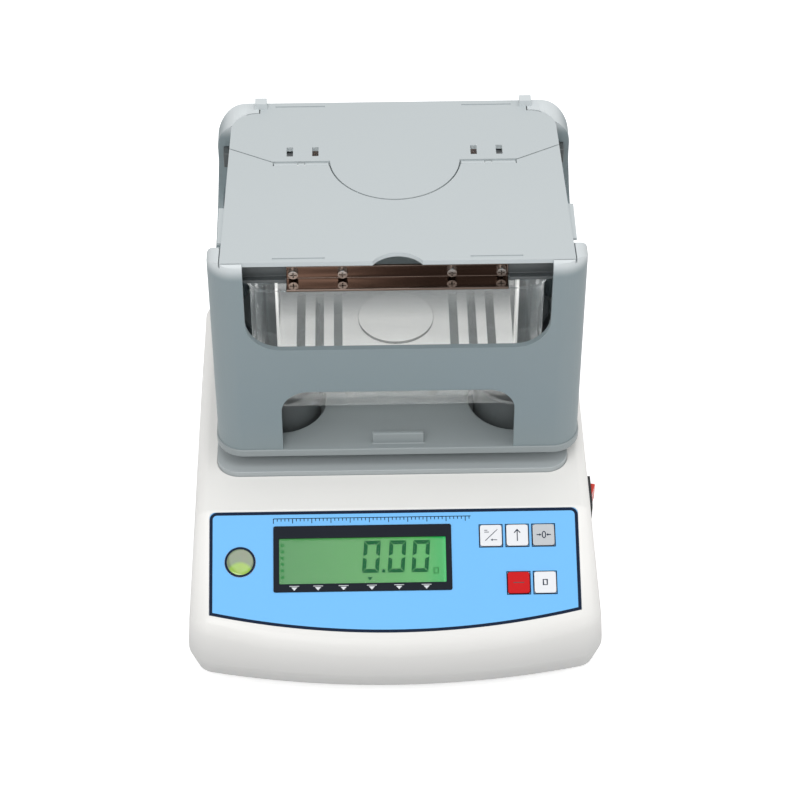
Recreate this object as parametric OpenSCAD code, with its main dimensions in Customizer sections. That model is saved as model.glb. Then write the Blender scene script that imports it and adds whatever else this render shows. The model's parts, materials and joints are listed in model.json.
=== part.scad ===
// Benchtop density meter: a weighing base with a sloping panel, and on it a
// grey weighing box that hangs a steel basket in a fixed clear water tank.
// Millimetres. +X right, +Y back, +Z up, origin under the middle of the part.

/* [Base housing] */
// Width of the base along its foot
base_w = 216.6; // [200:0.2:240]
// Depth of the base along its middle
base_d = 234; // [226:1:260]
// How far the middle of the front edge bows out
front_bow = 13.3; // [6:0.1:18]
// Radius of the upright corners of the base
base_r = 14; // [10:1:18]
// Wall thickness of the base shells
shell_wall = 2.6; // [2:0.1:3.2]
// Free height under the bottom tray
under_gap = 7; // [6:0.5:10]
// Height of the bottom tray
tray_h = 14; // [12:1:18]
// Height of the flat top of the base above the table
deck_h = 74; // [70:1:84]
// Rounding along the top edges of the base
edge_r = 7; // [4:0.5:9]
// Rounding of the nose under the panel
nose_r = 12; // [9:0.5:14]

/* [Sloping panel] */
// Slope of the panel
panel_angle = 28; // [22:1:32]
// Distance from the front edge to the top of the slope
slope_d = 67; // [62:1:74]
// Width of the blue panel
panel_w = 192; // [180:1:194]
// Length of the blue panel along its sides
panel_l = 54.6; // [50:0.2:56]
// Thickness of the blue panel
panel_t = 0.8; // [0.6:0.1:1.2]
// Width of the display frame
bezel_w = 92.5; // [88:0.5:96]
// Height of the display frame
bezel_l = 35.3; // [32:0.1:37]
// Width of the display window
window_w = 86.6; // [80:0.2:88]
// Height of the display window
window_l = 24.5; // [20:0.5:27]
// Side of a key
key_w = 11.2; // [9:0.1:12]
// Distance between keys in a row
key_pitch = 13.7; // [13:0.1:14.5]
// Distance between the two rows of keys
key_row = 25.4; // [23:0.2:27]
// Height that a key stands above the panel
key_rise = 0.9; // [0.6:0.1:1.5]
// Diameter of the black ring round the spirit level
level_d = 16.3; // [14:0.1:17]

/* [Weighing box] */
// Width of the box
box_w = 190; // [184:1:196]
// Depth of the box
box_d = 131; // [128:1:136]
// Height of the box above its floor plate
box_h = 127.7; // [124:0.1:136]
// How far the box sits to the right of the middle of the base
box_shift = 3; // [0:0.5:4]
// Distance from the rear of the base to the rear of the box
box_inset = 6; // [4:0.5:8]
// Wall thickness of the box
box_wall = 3; // [2.4:0.1:3.4]
// Radius of the upright corners of the box
box_r = 14; // [11:1:16]
// Radius of the upper corners of the rear hood
hood_r = 16; // [12:1:17]
// Depth of the rear hood
hood_d = 16; // [14:1:20]
// Depth of the front posts
post_d = 18; // [16:1:20]
// How far the sides of the rear hood lean in
hood_lean = 2.2; // [0:0.1:2.4]
// Height of the side walls above the floor plate
side_h = 68; // [60:1:74]
// Width of the front window
front_w = 154; // [140:1:156]
// Height of the window sill above the floor plate
sill_h = 70.7; // [64:0.1:76]
// Width of the low front opening
arch_w = 121; // [110:1:126]
// Height of the low front opening
arch_h = 41.2; // [36:0.2:46]
// Thickness of the floor plate
floor_t = 4.6; // [3:0.1:6]
// Free height between the deck plate and the floor plate
float_gap = 7.7; // [7:0.1:10]
// Thickness of the deck plate
plate_t = 4; // [3:0.5:5]
// Width of the deck plate
plate_w = 186; // [180:1:190]
// Depth of the deck plate
plate_d = 133; // [124:1:134]

/* [Lids] */
// Thickness of the lids
lid_t = 2.6; // [2.2:0.1:3]
// Distance from the front of the box to the hinge
hinge_back = 79.5; // [74:0.1:82]
// Radius of the round tongue between the hinges
tongue_r = 33.5; // [28:0.5:35]
// Diameter of the hinge pins
pin_d = 1.2; // [1:0.1:1.4]
// Length of each hinge
hinge_l = 28; // [24:1:30]
// Width of the thumb notch in the front edge
notch_w = 24.8; // [18:0.2:30]
// Depth of the thumb notch
notch_d = 6.6; // [4:0.2:8]

/* [Tank and basket] */
// Width of the water tank
tank_w = 154; // [148:1:158]
// Depth of the water tank
tank_d = 104; // [96:1:106]
// Height of the water tank
tank_h = 84; // [78:0.1:84.2]
// Height of the tank above the floor plate
tank_lift = 16.4; // [13:0.1:16.6]
// Wall of the water tank
tank_wall = 2.5; // [2:0.1:3]
// Diameter of a tank pillar
pillar_d = 44; // [36:1:45]
// Clearance round a pillar in the floor plate
pillar_gap = 3; // [2:0.5:4]
// Distance between the left and right pillars
pillar_x = 126; // [120:1:128]
// Distance between the front and rear pillars
pillar_y = 56; // [52:1:60]
// Width of the basket
basket_w = 124; // [116:1:130]
// Height of the basket tray above the tank floor
tray_lift = 11.7; // [8:0.1:16]
// Diameter of the round boss in the tray
dish_d = 40; // [34:1:42]
// Width of a slot in the tray
slot_w = 4.6; // [3:0.1:5.5]
// Distance between slots
slot_pitch = 9.9; // [9:0.1:10.2]
// Length of a slot
slot_l = 42; // [36:1:50]
// Thickness of the basket sheet
sheet_t = 1.2; // [1:0.1:1.5]
// Height of a hanger bar
bar_h = 9; // [8:0.5:11]

/* [Weighing gear] */
// Length of the load cell
cell_l = 120; // [110:1:124]
// Width of the load cell
cell_w = 26; // [22:1:30]
// Height of the load cell
cell_h = 24; // [20:1:25]
// Travel of the weighing box under its full load
weigh_travel = 0.4; // [0.2:0.1:0.6]

/* [Hidden] */
$fn = 48;
eps = 0.01;

// colours
white_abs = [0.90, 0.90, 0.89];
box_grey = [0.64, 0.67, 0.68];
steel = [0.75, 0.76, 0.77];
black = [0.08, 0.08, 0.09];

// base levels and plan
half_w = base_w / 2;
front_y = -base_d / 2;
rear_y = base_d / 2;
split_z = under_gap + tray_h;
bow_r = (half_w * half_w + front_bow * front_bow) / (2 * front_bow);
corner_x = half_w - base_r;
bow_y = front_y + bow_r;
corner_y = bow_y - sqrt(pow(bow_r - base_r, 2) - corner_x * corner_x);
bow_a = asin(corner_x / (bow_r - base_r));
side_draft = max(1, min(4.7, (base_w - 205) * 0.41));
nose_draft = side_draft / 4;
rear_draft = 1;

// slope: a plane through the line slope_y, deck_h
slope_y = front_y + slope_d;
slope_k = cos(panel_angle) * deck_h - sin(panel_angle) * slope_y;
slope_edge_y = (cos(panel_angle) * (deck_h - edge_r) + edge_r - slope_k) / sin(panel_angle);
slope_wall = shell_wall;

// panel features, along the slope from its upper edge
panel_top = 0.6;
panel_corner_r = 3;
panel_half = panel_w / 2;
panel_bow = bow_r - sqrt(bow_r * bow_r - panel_half * panel_half);
bezel_x = -16.6;
bezel_s = 26.2;
window_s = bezel_s + 1.1;
key_x0 = 50.3;
key_s0 = 15.3;
keys = [[key_x0, key_s0], [key_x0 + key_pitch, key_s0], [key_x0 + 2 * key_pitch, key_s0],
    [key_x0 + key_pitch, key_s0 + key_row], [key_x0 + 2 * key_pitch, key_s0 + key_row]];
key_gap = 0.3;
key_travel = 0.6;
key_flange = 0.9;
level_x = -80.1;
level_s = 27.4;
well_depth = 14;
board_depth = 8;
board_t = 1.6;
board_posts = [[-65, 9.5], [-65, 44], [38, 28], [84.6, 28]];
bezel_rise = 0.5;
glass_w = window_w + 1.2;
glass_l = window_l + 1.2;
glass_gap = 0.2;

// base inside
screw_r = 1.5;
screw_gap = 0.05;
boss_r = 4.5;
head_r = 2.8;
head_h = 2;
case_x = half_w - 10.5;
case_ys = [slope_y, slope_y + 78, rear_y - 13];
foot_x = half_w - 30.3;
foot_ys = [front_y + 37, rear_y - 25];
wheel_r = 12;
stud_r = 3;
foot_travel = 3;
pad_h = 2.5;
wheel_gap = 0.3;
chassis_t = 3;
chassis_z = under_gap + shell_wall + 2.4;
chassis_w = 64;
chassis_l = cell_l - 3;
chassis_hole_y = cell_l / 2 - 8;
block_h = 8;
cell_z = chassis_z + chassis_t + block_h;
cell_top = cell_z + cell_h;
cell_bore_y = cell_l / 6;
cell_bolt_r = 2.5;
cell_bolt_in = [8, 22];
main_z = under_gap + shell_wall + 8.4;
main_x0 = -88;
main_w = 54;
main_y0 = -40;
main_l = 100;
port_x = -62;
jack_x = -38;
port_z = 39;
pocket_x0 = -88;
pocket_x1 = -28;
pocket_d = 7;
pocket_z0 = 27;
pocket_z1 = 51;
pocket_y = rear_y - pocket_d - rear_draft;
switch_y = -24;
switch_z = 52;
switch_l = 22;
switch_x = half_w - side_draft * 0.67 - 0.6;
switch_h = 15;
rocker_l = 15.6;
rocker_h = 10.6;
rocker_tilt = 12;
rocker_proud = 2.2;
rocker_pivot = 3;
rocker_pin = 1.2;
rocker_x = switch_x - 2.55;
rocker_end = rocker_pivot + rocker_proud;
rocker_reach = rocker_end * cos(rocker_tilt) + rocker_l / 2 * sin(rocker_tilt);
rocker_out = max(0, rocker_x + rocker_reach - half_w);

// weighing box levels
box_y1 = rear_y - box_inset;
box_y0 = box_y1 - box_d;
box_mid = (box_y0 + box_y1) / 2;
plate_sink = 1;
plate_mid = rear_y - rear_draft - edge_r - 0.5 - plate_d / 2;
plate_hole_x = plate_w / 2 - 9;
plate_hole_y = pillar_y / 2 + pillar_d / 2;
plate_top = deck_h + plate_t - plate_sink;
floor_z = plate_top + float_gap;
shell_z = floor_z + floor_t;
lid_top = shell_z + box_h;
lid_z = lid_top - lid_t;
ledge_t = 3;
lid_gap = 0.3;
seam = 0.8;
front_r = 8;
window_r = 18;
top_r = 3.5;
post_r = 6;
arch_r = 14;
hub_r = 15;
shell_boss_x = box_w / 2 - box_r / 2 - 1.5;
shell_boss_y = box_d / 2 - box_r / 2 - 1.5;

// tank, hanger and basket
tank_z = shell_z + tank_lift;
tank_top = tank_z + tank_h;
tank_r = 12;
bar_z = tank_top + 2;
bar_t = 1.5;
bar_reach = 5.5;
bar_y = tank_d / 2 - 4;
bar_leg = box_d / 2 - box_wall - bar_y - bar_reach;
bracket_leg = bar_leg * 0.4;
rear_leg = bracket_leg + post_d - hood_d;
bracket_screw_in = 1.8;
inner_w = box_w / 2 - box_wall;
lean_top = bar_z - shell_z - 1;
bar_half = basket_w / 2 - 6.2;
web_t = 3;
tab_y = bar_y - bar_t - web_t;
tray_z = tank_z + 3 + tray_lift;
strip_l = 10;
screw_xs = [27.5, bar_half - 3.5];

// hinge
knuckle_r = 1.3;
pin_gap = 0.05;
web_h = lid_t - knuckle_r + 0.2;
hinge_y = box_y0 + hinge_back;
axis_z = lid_top - knuckle_r;
tongue_y = hinge_y + 4.2;
hinge_x0 = tongue_r + 0.6;
hinge_x1 = hinge_x0 + hinge_l;
knuckle_gap = 0.3;
notch_r = (notch_w * notch_w / 4 + notch_d * notch_d) / (2 * notch_d);
lid_front_half = 88;
lid_taper = 3;
lid_side_y = box_y0 + 107;
lid_side_half = lid_front_half - lid_taper;
wing_y = hinge_y + 14.7;
lid_front_y = box_y0 + 2;
seam_y = hinge_y - knuckle_r - knuckle_gap;
lid_rear_y = box_y1 - 9;
rear_tongue = 70;

// moves a node so that the origin is under the middle of the whole part
module settle() {
    translate([-rocker_out / 2, 0, 0]) children();
}

// the same for what belongs to the weighing box and the tank
module settle_box() {
    settle() translate([box_shift, 0, 0]) children();
}

function ring_pts(cx, cy, r, a0, a1, n) =
    [for (i = [0:n]) [cx + r * cos(a0 + (a1 - a0) * i / n), cy + r * sin(a0 + (a1 - a0) * i / n)]];

// front edge of the base in plan, at a distance x from the middle
function front_at(x) = bow_y - sqrt(bow_r * bow_r - x * x);

// plan of the base, drawn in by inset
function plan(inset) = concat(
    ring_pts(0, bow_y, bow_r - inset, 270 - bow_a, 270 + bow_a, 20),
    ring_pts(corner_x, corner_y, base_r - inset, 270 + bow_a, 360, 8),
    ring_pts(corner_x, rear_y - base_r, base_r - inset, 0, 90, 8),
    ring_pts(-corner_x, rear_y - base_r, base_r - inset, 90, 180, 8),
    ring_pts(-corner_x, corner_y, base_r - inset, 180, 270 - bow_a, 8));

module slab(inset, z, h) {
    translate([0, 0, z]) linear_extrude(h) polygon(plan(inset));
}

// round-cornered plate centred on the origin
module plate2d(w, d, r) {
    square([w - 2 * r, d], center = true);
    square([w, d - 2 * r], center = true);
    for (x = [-1, 1], y = [-1, 1]) translate([x * (w / 2 - r), y * (d / 2 - r)]) circle(r);
}

module plate(w, d, h, r) {
    linear_extrude(h) plate2d(w, d, r);
}

// places children on the slope: x across, s down the slope, z out of it
module on_slope(x, s) {
    translate([0, slope_y, deck_h]) rotate([panel_angle, 0, 0]) translate([x, -s, 0]) children();
}

module mirrored_x() {
    children();
    mirror([1, 0, 0]) children();
}

// copies at the four corners of a rectangle round a point
module corners(dx, dy, cy) {
    for (x = [-1, 1], y = [-1, 1]) translate([x * dx, cy + y * dy, 0]) children();
}

// pan-head screw pointing up, head underneath, its seat at z = 0
module screw(r, len) {
    translate([0, 0, -head_h]) cylinder(r = head_r * r / screw_r, h = head_h);
    cylinder(r = r, h = len);
}

// ---- base housing ----

// solid body of the cover, its faces moved in by inset
module cover_body(inset, fn) {
    nose_half = half_w - nose_draft - nose_r;
    top_half = half_w - side_draft - edge_r;
    hull() {
        slab(inset, split_z, 0.4);
        for (x = [-top_half, top_half], y = [slope_edge_y, rear_y - rear_draft - edge_r])
            translate([x, y, deck_h - edge_r]) sphere(r = edge_r - inset, $fn = fn);
        for (i = [-3:3]) {
            x = nose_half * i / 3;
            y = front_at(min(abs(x), corner_x - 3)) + nose_r + (abs(i) == 3 ? 2 : 0);
            z = (slope_k - nose_r + sin(panel_angle) * y) / cos(panel_angle);
            translate([x, y, z]) sphere(r = nose_r - inset, $fn = fn);
        }
    }
}

module case_places() {
    for (x = [-case_x, case_x], y = case_ys) translate([x, y, 0]) children();
}

// outline of the blue panel, its lower edge bowed like the front of the base
module panel2d(grow) {
    long = panel_l + 4 * panel_bow;
    intersection() {
        translate([0, grow - long / 2]) plate2d(panel_w + 2 * grow, long, panel_corner_r);
        translate([0, bow_r - panel_l - panel_bow - grow]) circle(bow_r, $fn = 96);
    }
}

module top_cover() {
    settle() color(white_abs) difference() {
        union() {
            difference() {
                cover_body(0, 28);
                translate([0, 0, -eps]) cover_body(shell_wall, 20);
            }
            intersection() {
                cover_body(0, 28);
                union() {
                    case_places() translate([0, 0, split_z]) cylinder(r = boss_r, h = deck_h);
                    corners(plate_hole_x, plate_hole_y, box_mid)
                        translate([0, 0, deck_h - 14]) cylinder(r = boss_r, h = 14);
                    for (p = board_posts) on_slope(p[0], p[1])
                        translate([0, 0, -board_depth]) cylinder(r = 3, h = board_depth - 1);
                    on_slope(level_x, level_s) translate([0, 0, -well_depth - 1.5])
                        cylinder(r = level_d / 2 + 0.6, h = well_depth);
                    translate([pocket_x0, pocket_y - shell_wall, pocket_z0])
                        cube([pocket_x1 - pocket_x0, pocket_d + 4, pocket_z1 - pocket_z0]);
                }
            }
        }
        translate([-base_w, -base_d, split_z - deck_h]) cube([2 * base_w, 2 * base_d, deck_h]);
        // recess for the deck plate and the opening for the carrier
        translate([0, plate_mid, deck_h - plate_sink])
            plate(plate_w + 0.6, plate_d + 0.6, 10, box_r - 1.7);
        translate([0, box_mid, deck_h - 10]) cylinder(r = hub_r + 4, h = 20);
        corners(plate_hole_x, plate_hole_y, box_mid)
            translate([0, 0, deck_h - 12]) cylinder(r = screw_r + screw_gap, h = 14);
        // panel recess with its openings
        on_slope(0, panel_top) translate([0, 0, -panel_t]) linear_extrude(6) panel2d(0.2);
        on_slope(bezel_x, window_s) translate([0, 0, -5])
            plate(glass_w + 2 * glass_gap, glass_l + 2 * glass_gap, 10, 1);
        for (k = keys) on_slope(k[0], k[1]) translate([0, 0, -5])
            plate(key_w + 2 * key_gap, key_w + 2 * key_gap, 10, 1.5);
        on_slope(level_x, level_s) translate([0, 0, -well_depth]) cylinder(r = level_d / 2 - 0.9, h = 20);
        for (p = board_posts) on_slope(p[0], p[1]) translate([0, 0, -board_depth - 1])
            cylinder(r = 1.05, h = 6);
        case_places() translate([0, 0, split_z - 1]) cylinder(r = screw_r + screw_gap, h = 16);
        // rocker switch in the right side
        translate([switch_x - 6, switch_y, switch_z]) rotate([0, 90, 0])
            plate(switch_h - 1.8, switch_l - 1.8, 12, 0.5);
        translate([switch_x - 0.05, switch_y, switch_z]) rotate([0, 90, 0])
            plate(switch_h + 0.6, switch_l + 0.6, 8, 1.8);
        // pocket for the two sockets at the back
        translate([pocket_x0 + shell_wall, pocket_y, pocket_z0 + shell_wall])
            cube([pocket_x1 - pocket_x0 - 2 * shell_wall, pocket_d + 12,
                pocket_z1 - pocket_z0 - 2 * shell_wall]);
        translate([port_x, pocket_y - 10, port_z]) rotate([-90, 0, 0]) plate(20, 11, 14, 2);
        translate([jack_x, pocket_y - 10, port_z]) rotate([-90, 0, 0]) cylinder(r = 5.6, h = 14);
    }
}

module wheel_place() {
    for (x = [-foot_x, foot_x], y = foot_ys) translate([x, y, 0]) children();
}

module bottom_tray() {
    low = 4;
    settle() color(white_abs) difference() {
        union() {
            difference() {
                hull() {
                    slab(0, split_z - 2, 2);
                    slab(low, under_gap, 1);
                }
                hull() {
                    slab(shell_wall, split_z - 2, 3);
                    slab(low + shell_wall, under_gap + shell_wall, 1);
                }
            }
            case_places() translate([0, 0, under_gap]) cylinder(r = boss_r, h = tray_h);
            wheel_place() translate([0, 0, under_gap]) cylinder(r = wheel_r + 4, h = 8);
            wheel_place() translate([0, 0, under_gap]) cylinder(r = 8, h = tray_h - 1);
            corners(chassis_w / 2 - 6, chassis_hole_y, box_mid)
                translate([0, 0, under_gap + 1]) cylinder(r = 4, h = chassis_z - under_gap - 1);
            translate([main_x0 + main_w / 2, main_y0 + main_l / 2, 0])
                corners(main_w / 2 - 5, main_l / 2 - 5, 0)
                translate([0, 0, under_gap + 1]) cylinder(r = 3, h = main_z - under_gap - 1);
        }
        case_places() translate([0, 0, under_gap - 1]) {
            cylinder(r = head_r + 0.4, h = 5);
            cylinder(r = screw_r + screw_gap, h = tray_h + 2);
        }
        wheel_place() translate([0, 0, under_gap - 1]) {
            cylinder(r = wheel_r + 1.4, h = 5.4);
            cylinder(r = 5, h = tray_h + 2);
        }
        corners(chassis_w / 2 - 6, chassis_hole_y, box_mid)
            translate([0, 0, under_gap + 2]) cylinder(r = screw_r + screw_gap, h = 6);
        translate([main_x0 + main_w / 2, main_y0 + main_l / 2, 0])
            corners(main_w / 2 - 5, main_l / 2 - 5, 0)
            translate([0, 0, main_z - 6]) cylinder(r = 1.05, h = 8);
    }
}

module case_screws() {
    settle() color(steel) case_places() translate([0, 0, under_gap + 4]) screw(screw_r, 24);
}

module foot_inserts() {
    settle() color([0.80, 0.65, 0.35]) wheel_place() translate([0, 0, under_gap + 4.4]) difference() {
        cylinder(r = 5, h = tray_h - 5.4);
        translate([0, 0, -1]) cylinder(r = stud_r + pin_gap, h = tray_h);
    }
}

module foot_pad(x, y) {
    settle() color([0.15, 0.15, 0.16]) translate([x, y, 0]) rotate_extrude()
        polygon([[0, 0], [7.4, 0], [8, 0.6], [8, pad_h - 0.4], [7.6, pad_h], [0, pad_h]]);
}

module foot_screw(x, y) {
    wheel_h = under_gap - pad_h - 0.8;
    settle() color([0.82, 0.82, 0.80]) translate([x, y, pad_h + wheel_gap]) {
        difference() {
            cylinder(r = wheel_r, h = wheel_h);
            for (i = [0:17]) rotate(i * 20) translate([wheel_r + 0.6, 0, -1])
                cylinder(r = 1.2, h = wheel_h + 2, $fn = 16);
        }
        cylinder(r = stud_r, h = under_gap + tray_h - pad_h - foot_travel - 2);
    }
}

// ---- weighing gear inside the base ----

module chassis_plate() {
    y0 = box_mid - cell_l / 2;
    settle() color([0.62, 0.64, 0.66]) difference() {
        union() {
            translate([0, box_mid, chassis_z]) plate(chassis_w, chassis_l, chassis_t, 4);
            translate([-cell_w / 2, y0, chassis_z + chassis_t - eps]) cube([cell_w, 30, block_h + eps]);
        }
        corners(chassis_w / 2 - 6, chassis_hole_y, box_mid) translate([0, 0, chassis_z - 1])
            cylinder(r = screw_r + screw_gap, h = 6);
        for (y = cell_bolt_in) translate([0, y0 + y, chassis_z - 1])
            cylinder(r = cell_bolt_r + screw_gap, h = 16);
        translate([0, box_mid + cell_l / 2 - 8, chassis_z - 1]) cylinder(r = 2.5, h = 6);
    }
}

module chassis_screws() {
    settle() color(steel) corners(chassis_w / 2 - 6, chassis_hole_y, box_mid)
        translate([0, 0, chassis_z + chassis_t]) rotate([180, 0, 0]) screw(screw_r, chassis_t + 2.8);
}

module load_cell() {
    y0 = box_mid - cell_l / 2;
    settle() color([0.80, 0.81, 0.83]) difference() {
        translate([-cell_w / 2, y0, cell_z]) cube([cell_w, cell_l, cell_h]);
        for (y = [-cell_bore_y, cell_bore_y]) translate([-cell_w, box_mid + y, cell_z + cell_h / 2])
            rotate([0, 90, 0]) cylinder(r = cell_h / 2 - 2.6, h = 2 * cell_w);
        translate([-cell_w, box_mid - cell_bore_y, cell_z + cell_h / 2 - 3])
            cube([2 * cell_w, 2 * cell_bore_y, 6]);
        for (y = cell_bolt_in) translate([0, y0 + y, cell_z - 1])
            cylinder(r = cell_bolt_r + screw_gap, h = 15);
        for (y = cell_bolt_in) translate([0, box_mid + cell_l / 2 - y, cell_top - 14])
            cylinder(r = cell_bolt_r + screw_gap, h = 16);
    }
}

module cell_bolts() {
    y0 = box_mid - cell_l / 2;
    settle() color(steel) for (y = cell_bolt_in) translate([0, y0 + y, chassis_z]) {
        translate([0, 0, -2]) cylinder(r = 3.4, h = 2);
        cylinder(r = cell_bolt_r, h = chassis_t + block_h + 12);
    }
}

module overload_stop() {
    stop_top = cell_z - weigh_travel - 0.3;
    settle() color(steel) translate([0, box_mid + cell_l / 2 - 8, 0]) {
        translate([0, 0, chassis_z]) cylinder(r = 2.45, h = stop_top - chassis_z);
        translate([0, 0, chassis_z + chassis_t]) cylinder(r = 4.6, h = 3.2, $fn = 6);
    }
}

module carrier_bolt_places() {
    for (y = cell_bolt_in) translate([0, box_mid + cell_l / 2 - y, 0]) children();
}

module spider_places() {
    for (a = [0:90:270]) rotate(a + 45) translate([32, 0, 0]) children();
}

module pan_carrier() {
    foot_l = 30;
    foot_h = 6;
    bridge_z = cell_top + 3;
    settle() color([0.55, 0.57, 0.60]) difference() {
        union() {
            translate([-cell_w / 2, box_mid + cell_l / 2 - foot_l, cell_top])
                cube([cell_w, foot_l, foot_h]);
            translate([-cell_w / 2, box_mid - hub_r, bridge_z]) cube([cell_w, cell_l / 2 + hub_r, 5]);
            translate([0, box_mid, bridge_z]) cylinder(r = hub_r, h = floor_z - bridge_z);
            for (a = [45, 135]) translate([0, box_mid, floor_z - 4]) rotate(a) translate([-39, -9, 0])
                cube([78, 18, 4]);
        }
        carrier_bolt_places() translate([0, 0, cell_top - 1])
            cylinder(r = cell_bolt_r + screw_gap, h = 14);
        translate([0, box_mid, 0]) spider_places() translate([0, 0, floor_z - 6])
            cylinder(r = screw_r + screw_gap, h = 8);
    }
}

module carrier_bolts() {
    settle() color(steel) carrier_bolt_places() {
        translate([0, 0, cell_top + 8]) cylinder(r = 3.4, h = 2);
        translate([0, 0, cell_top - 12]) cylinder(r = cell_bolt_r, h = 20);
    }
}

module floor_screws() {
    settle() color(steel) translate([0, box_mid, 0]) spider_places()
        translate([0, 0, shell_z]) rotate([180, 0, 0]) screw(screw_r, floor_t + 3.6);
}

// ---- electronics ----

module main_board() {
    parts = [[6, 64, 16, 12, 6], [24, 30, 14, 14, 2.4], [6, 10, 10, 22, 8], [30, 60, 10, 16, 5],
        [36, 8, 8, 8, 3]];
    settle() color([0.10, 0.42, 0.24]) difference() {
        union() {
            translate([main_x0, main_y0, main_z]) cube([main_w, main_l, board_t]);
            for (p = parts) translate([main_x0 + p[0], main_y0 + p[1], main_z + board_t - eps])
                cube([p[2], p[3], p[4]]);
        }
        translate([main_x0 + main_w / 2, main_y0 + main_l / 2, 0])
            corners(main_w / 2 - 5, main_l / 2 - 5, 0)
            translate([0, 0, main_z - 1]) cylinder(r = 1.3, h = 4);
    }
}

module main_board_screws() {
    settle() color(steel) translate([main_x0 + main_w / 2, main_y0 + main_l / 2, 0])
        corners(main_w / 2 - 5, main_l / 2 - 5, 0) translate([0, 0, main_z + board_t]) rotate([180, 0, 0])
            screw(1, 7);
}

module display_board() {
    settle() color([0.10, 0.42, 0.24]) difference() {
        on_slope(9.5, 26.5) translate([0, 0, -board_depth - board_t]) plate(158, 43, board_t, 2);
        for (p = board_posts) on_slope(p[0], p[1]) translate([0, 0, -board_depth - 4])
            cylinder(r = 1.3, h = 6);
    }
}

module display_board_screws() {
    settle() color(steel) for (p = board_posts) on_slope(p[0], p[1])
        translate([0, 0, -board_depth - board_t]) screw(1, board_t + 4);
}

module key_switches() {
    settle() color([0.12, 0.12, 0.13]) for (k = keys) on_slope(k[0], k[1]) translate([0, 0, -board_depth])
        {
        translate([-3, -3, 0]) cube([6, 6, 2]);
        cylinder(r = 1.7, h = 2.7);
    }
}

module ribbon_cable() {
    t = 1;
    low_y = main_y0 + 18;
    top_y = slope_y - 18 * cos(panel_angle) + 6;
    top_z = deck_h - 18 * sin(panel_angle) - (board_depth + board_t) / cos(panel_angle) - 6;
    low_z = main_z + board_t + 3;
    route = concat(
        [[low_y, low_z]],
        ring_pts(low_y, low_z + 9, 9, 270, 180, 8),
        ring_pts(top_y + 3, top_z - 9, 6, 180, 90, 6));
    settle() color([0.72, 0.72, 0.74]) translate([main_x0 + 30, 0, 0]) rotate([90, 0, 90])
        linear_extrude(14)
        polygon(concat(
            [for (p = route) [p[0], p[1] + t]],
            [[low_y - 9 + t, top_z - 9]],
            [[low_y - 9 + t, low_z + 9]],
            [[low_y, low_z]]));
}

// ---- panel ----

module front_panel() {
    settle() color([0.44, 0.75, 0.98]) difference() {
        on_slope(0, panel_top) translate([0, 0, -panel_t]) linear_extrude(panel_t) panel2d(0);
        on_slope(bezel_x, bezel_s) translate([0, 0, -3]) plate(bezel_w + 0.1, bezel_l + 0.1, 6, 1);
        for (k = keys) on_slope(k[0], k[1]) translate([0, 0, -3])
            plate(key_w + 2 * key_gap, key_w + 2 * key_gap, 6, 1.5);
        on_slope(level_x, level_s) translate([0, 0, -3]) cylinder(r = level_d / 2, h = 6);
    }
}

module display_bezel() {
    settle() color(black) difference() {
        on_slope(bezel_x, bezel_s) translate([0, 0, -panel_t])
            plate(bezel_w, bezel_l, panel_t + bezel_rise, 1);
        on_slope(bezel_x, window_s) translate([0, 0, -3]) plate(window_w, window_l, 6, 0.6);
    }
}

module display_window() {
    settle() color([0.75, 0.85, 0.80, 0.4]) on_slope(bezel_x, window_s)
        translate([0, 0, -panel_t - 1]) plate(glass_w, glass_l, 1, 0.8);
}

module lcd_glass() {
    settle() color([0.45, 0.72, 0.42]) on_slope(bezel_x, window_s)
        translate([0, 0, -panel_t - 3.6]) plate(glass_w, glass_l, 2.6, 0.8);
}

module lcd_backlight() {
    settle() color([0.35, 0.85, 0.55]) on_slope(bezel_x, window_s)
        translate([0, 0, -board_depth]) plate(glass_w, glass_l, board_depth - panel_t - 3.6, 0.8);
}

module key(i) {
    shades = [[0.93, 0.93, 0.92], [0.93, 0.93, 0.92], [0.72, 0.73, 0.74], [0.80, 0.12, 0.15],
        [0.93, 0.93, 0.92]];
    settle() color(shades[i]) on_slope(keys[i][0], keys[i][1]) {
        translate([0, 0, -slope_wall - 1.8]) plate(key_w, key_w, slope_wall + 1.8 + key_rise, 1.3);
        translate([0, 0, -slope_wall - 1.8])
            plate(key_w + 2 * key_flange, key_w + 2 * key_flange, 1.5, 1);
    }
}

module key_1() { key(0); }
module key_2() { key(1); }
module key_3() { key(2); }
module key_4() { key(3); }
module key_5() { key(4); }

module level_cup() {
    settle() color([0.92, 0.92, 0.90]) difference() {
        union() {
            on_slope(level_x, level_s) translate([0, 0, -well_depth])
                cylinder(r = level_d / 2 - 1, h = well_depth - panel_t);
            on_slope(level_x, level_s) translate([0, 0, -panel_t])
                cylinder(r = level_d / 2 - 0.05, h = panel_t + 0.3);
        }
        on_slope(level_x, level_s) translate([0, 0, -7]) rotate([-panel_angle, 0, 0])
            translate([0, 0, -3])
            cylinder(r = 5.6, h = 20);
        on_slope(level_x, level_s) translate([0, 0, -4]) cylinder(r = level_d / 2 - 1.8, h = 8);
    }
}

module level_vial() {
    settle() color([0.80, 0.90, 0.30, 0.7]) on_slope(level_x, level_s) translate([0, 0, -7])
        rotate([-panel_angle, 0, 0]) translate([0, 0, -3]) cylinder(r = 5.5, h = 5.4);
}

// ---- switch and sockets ----

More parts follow.
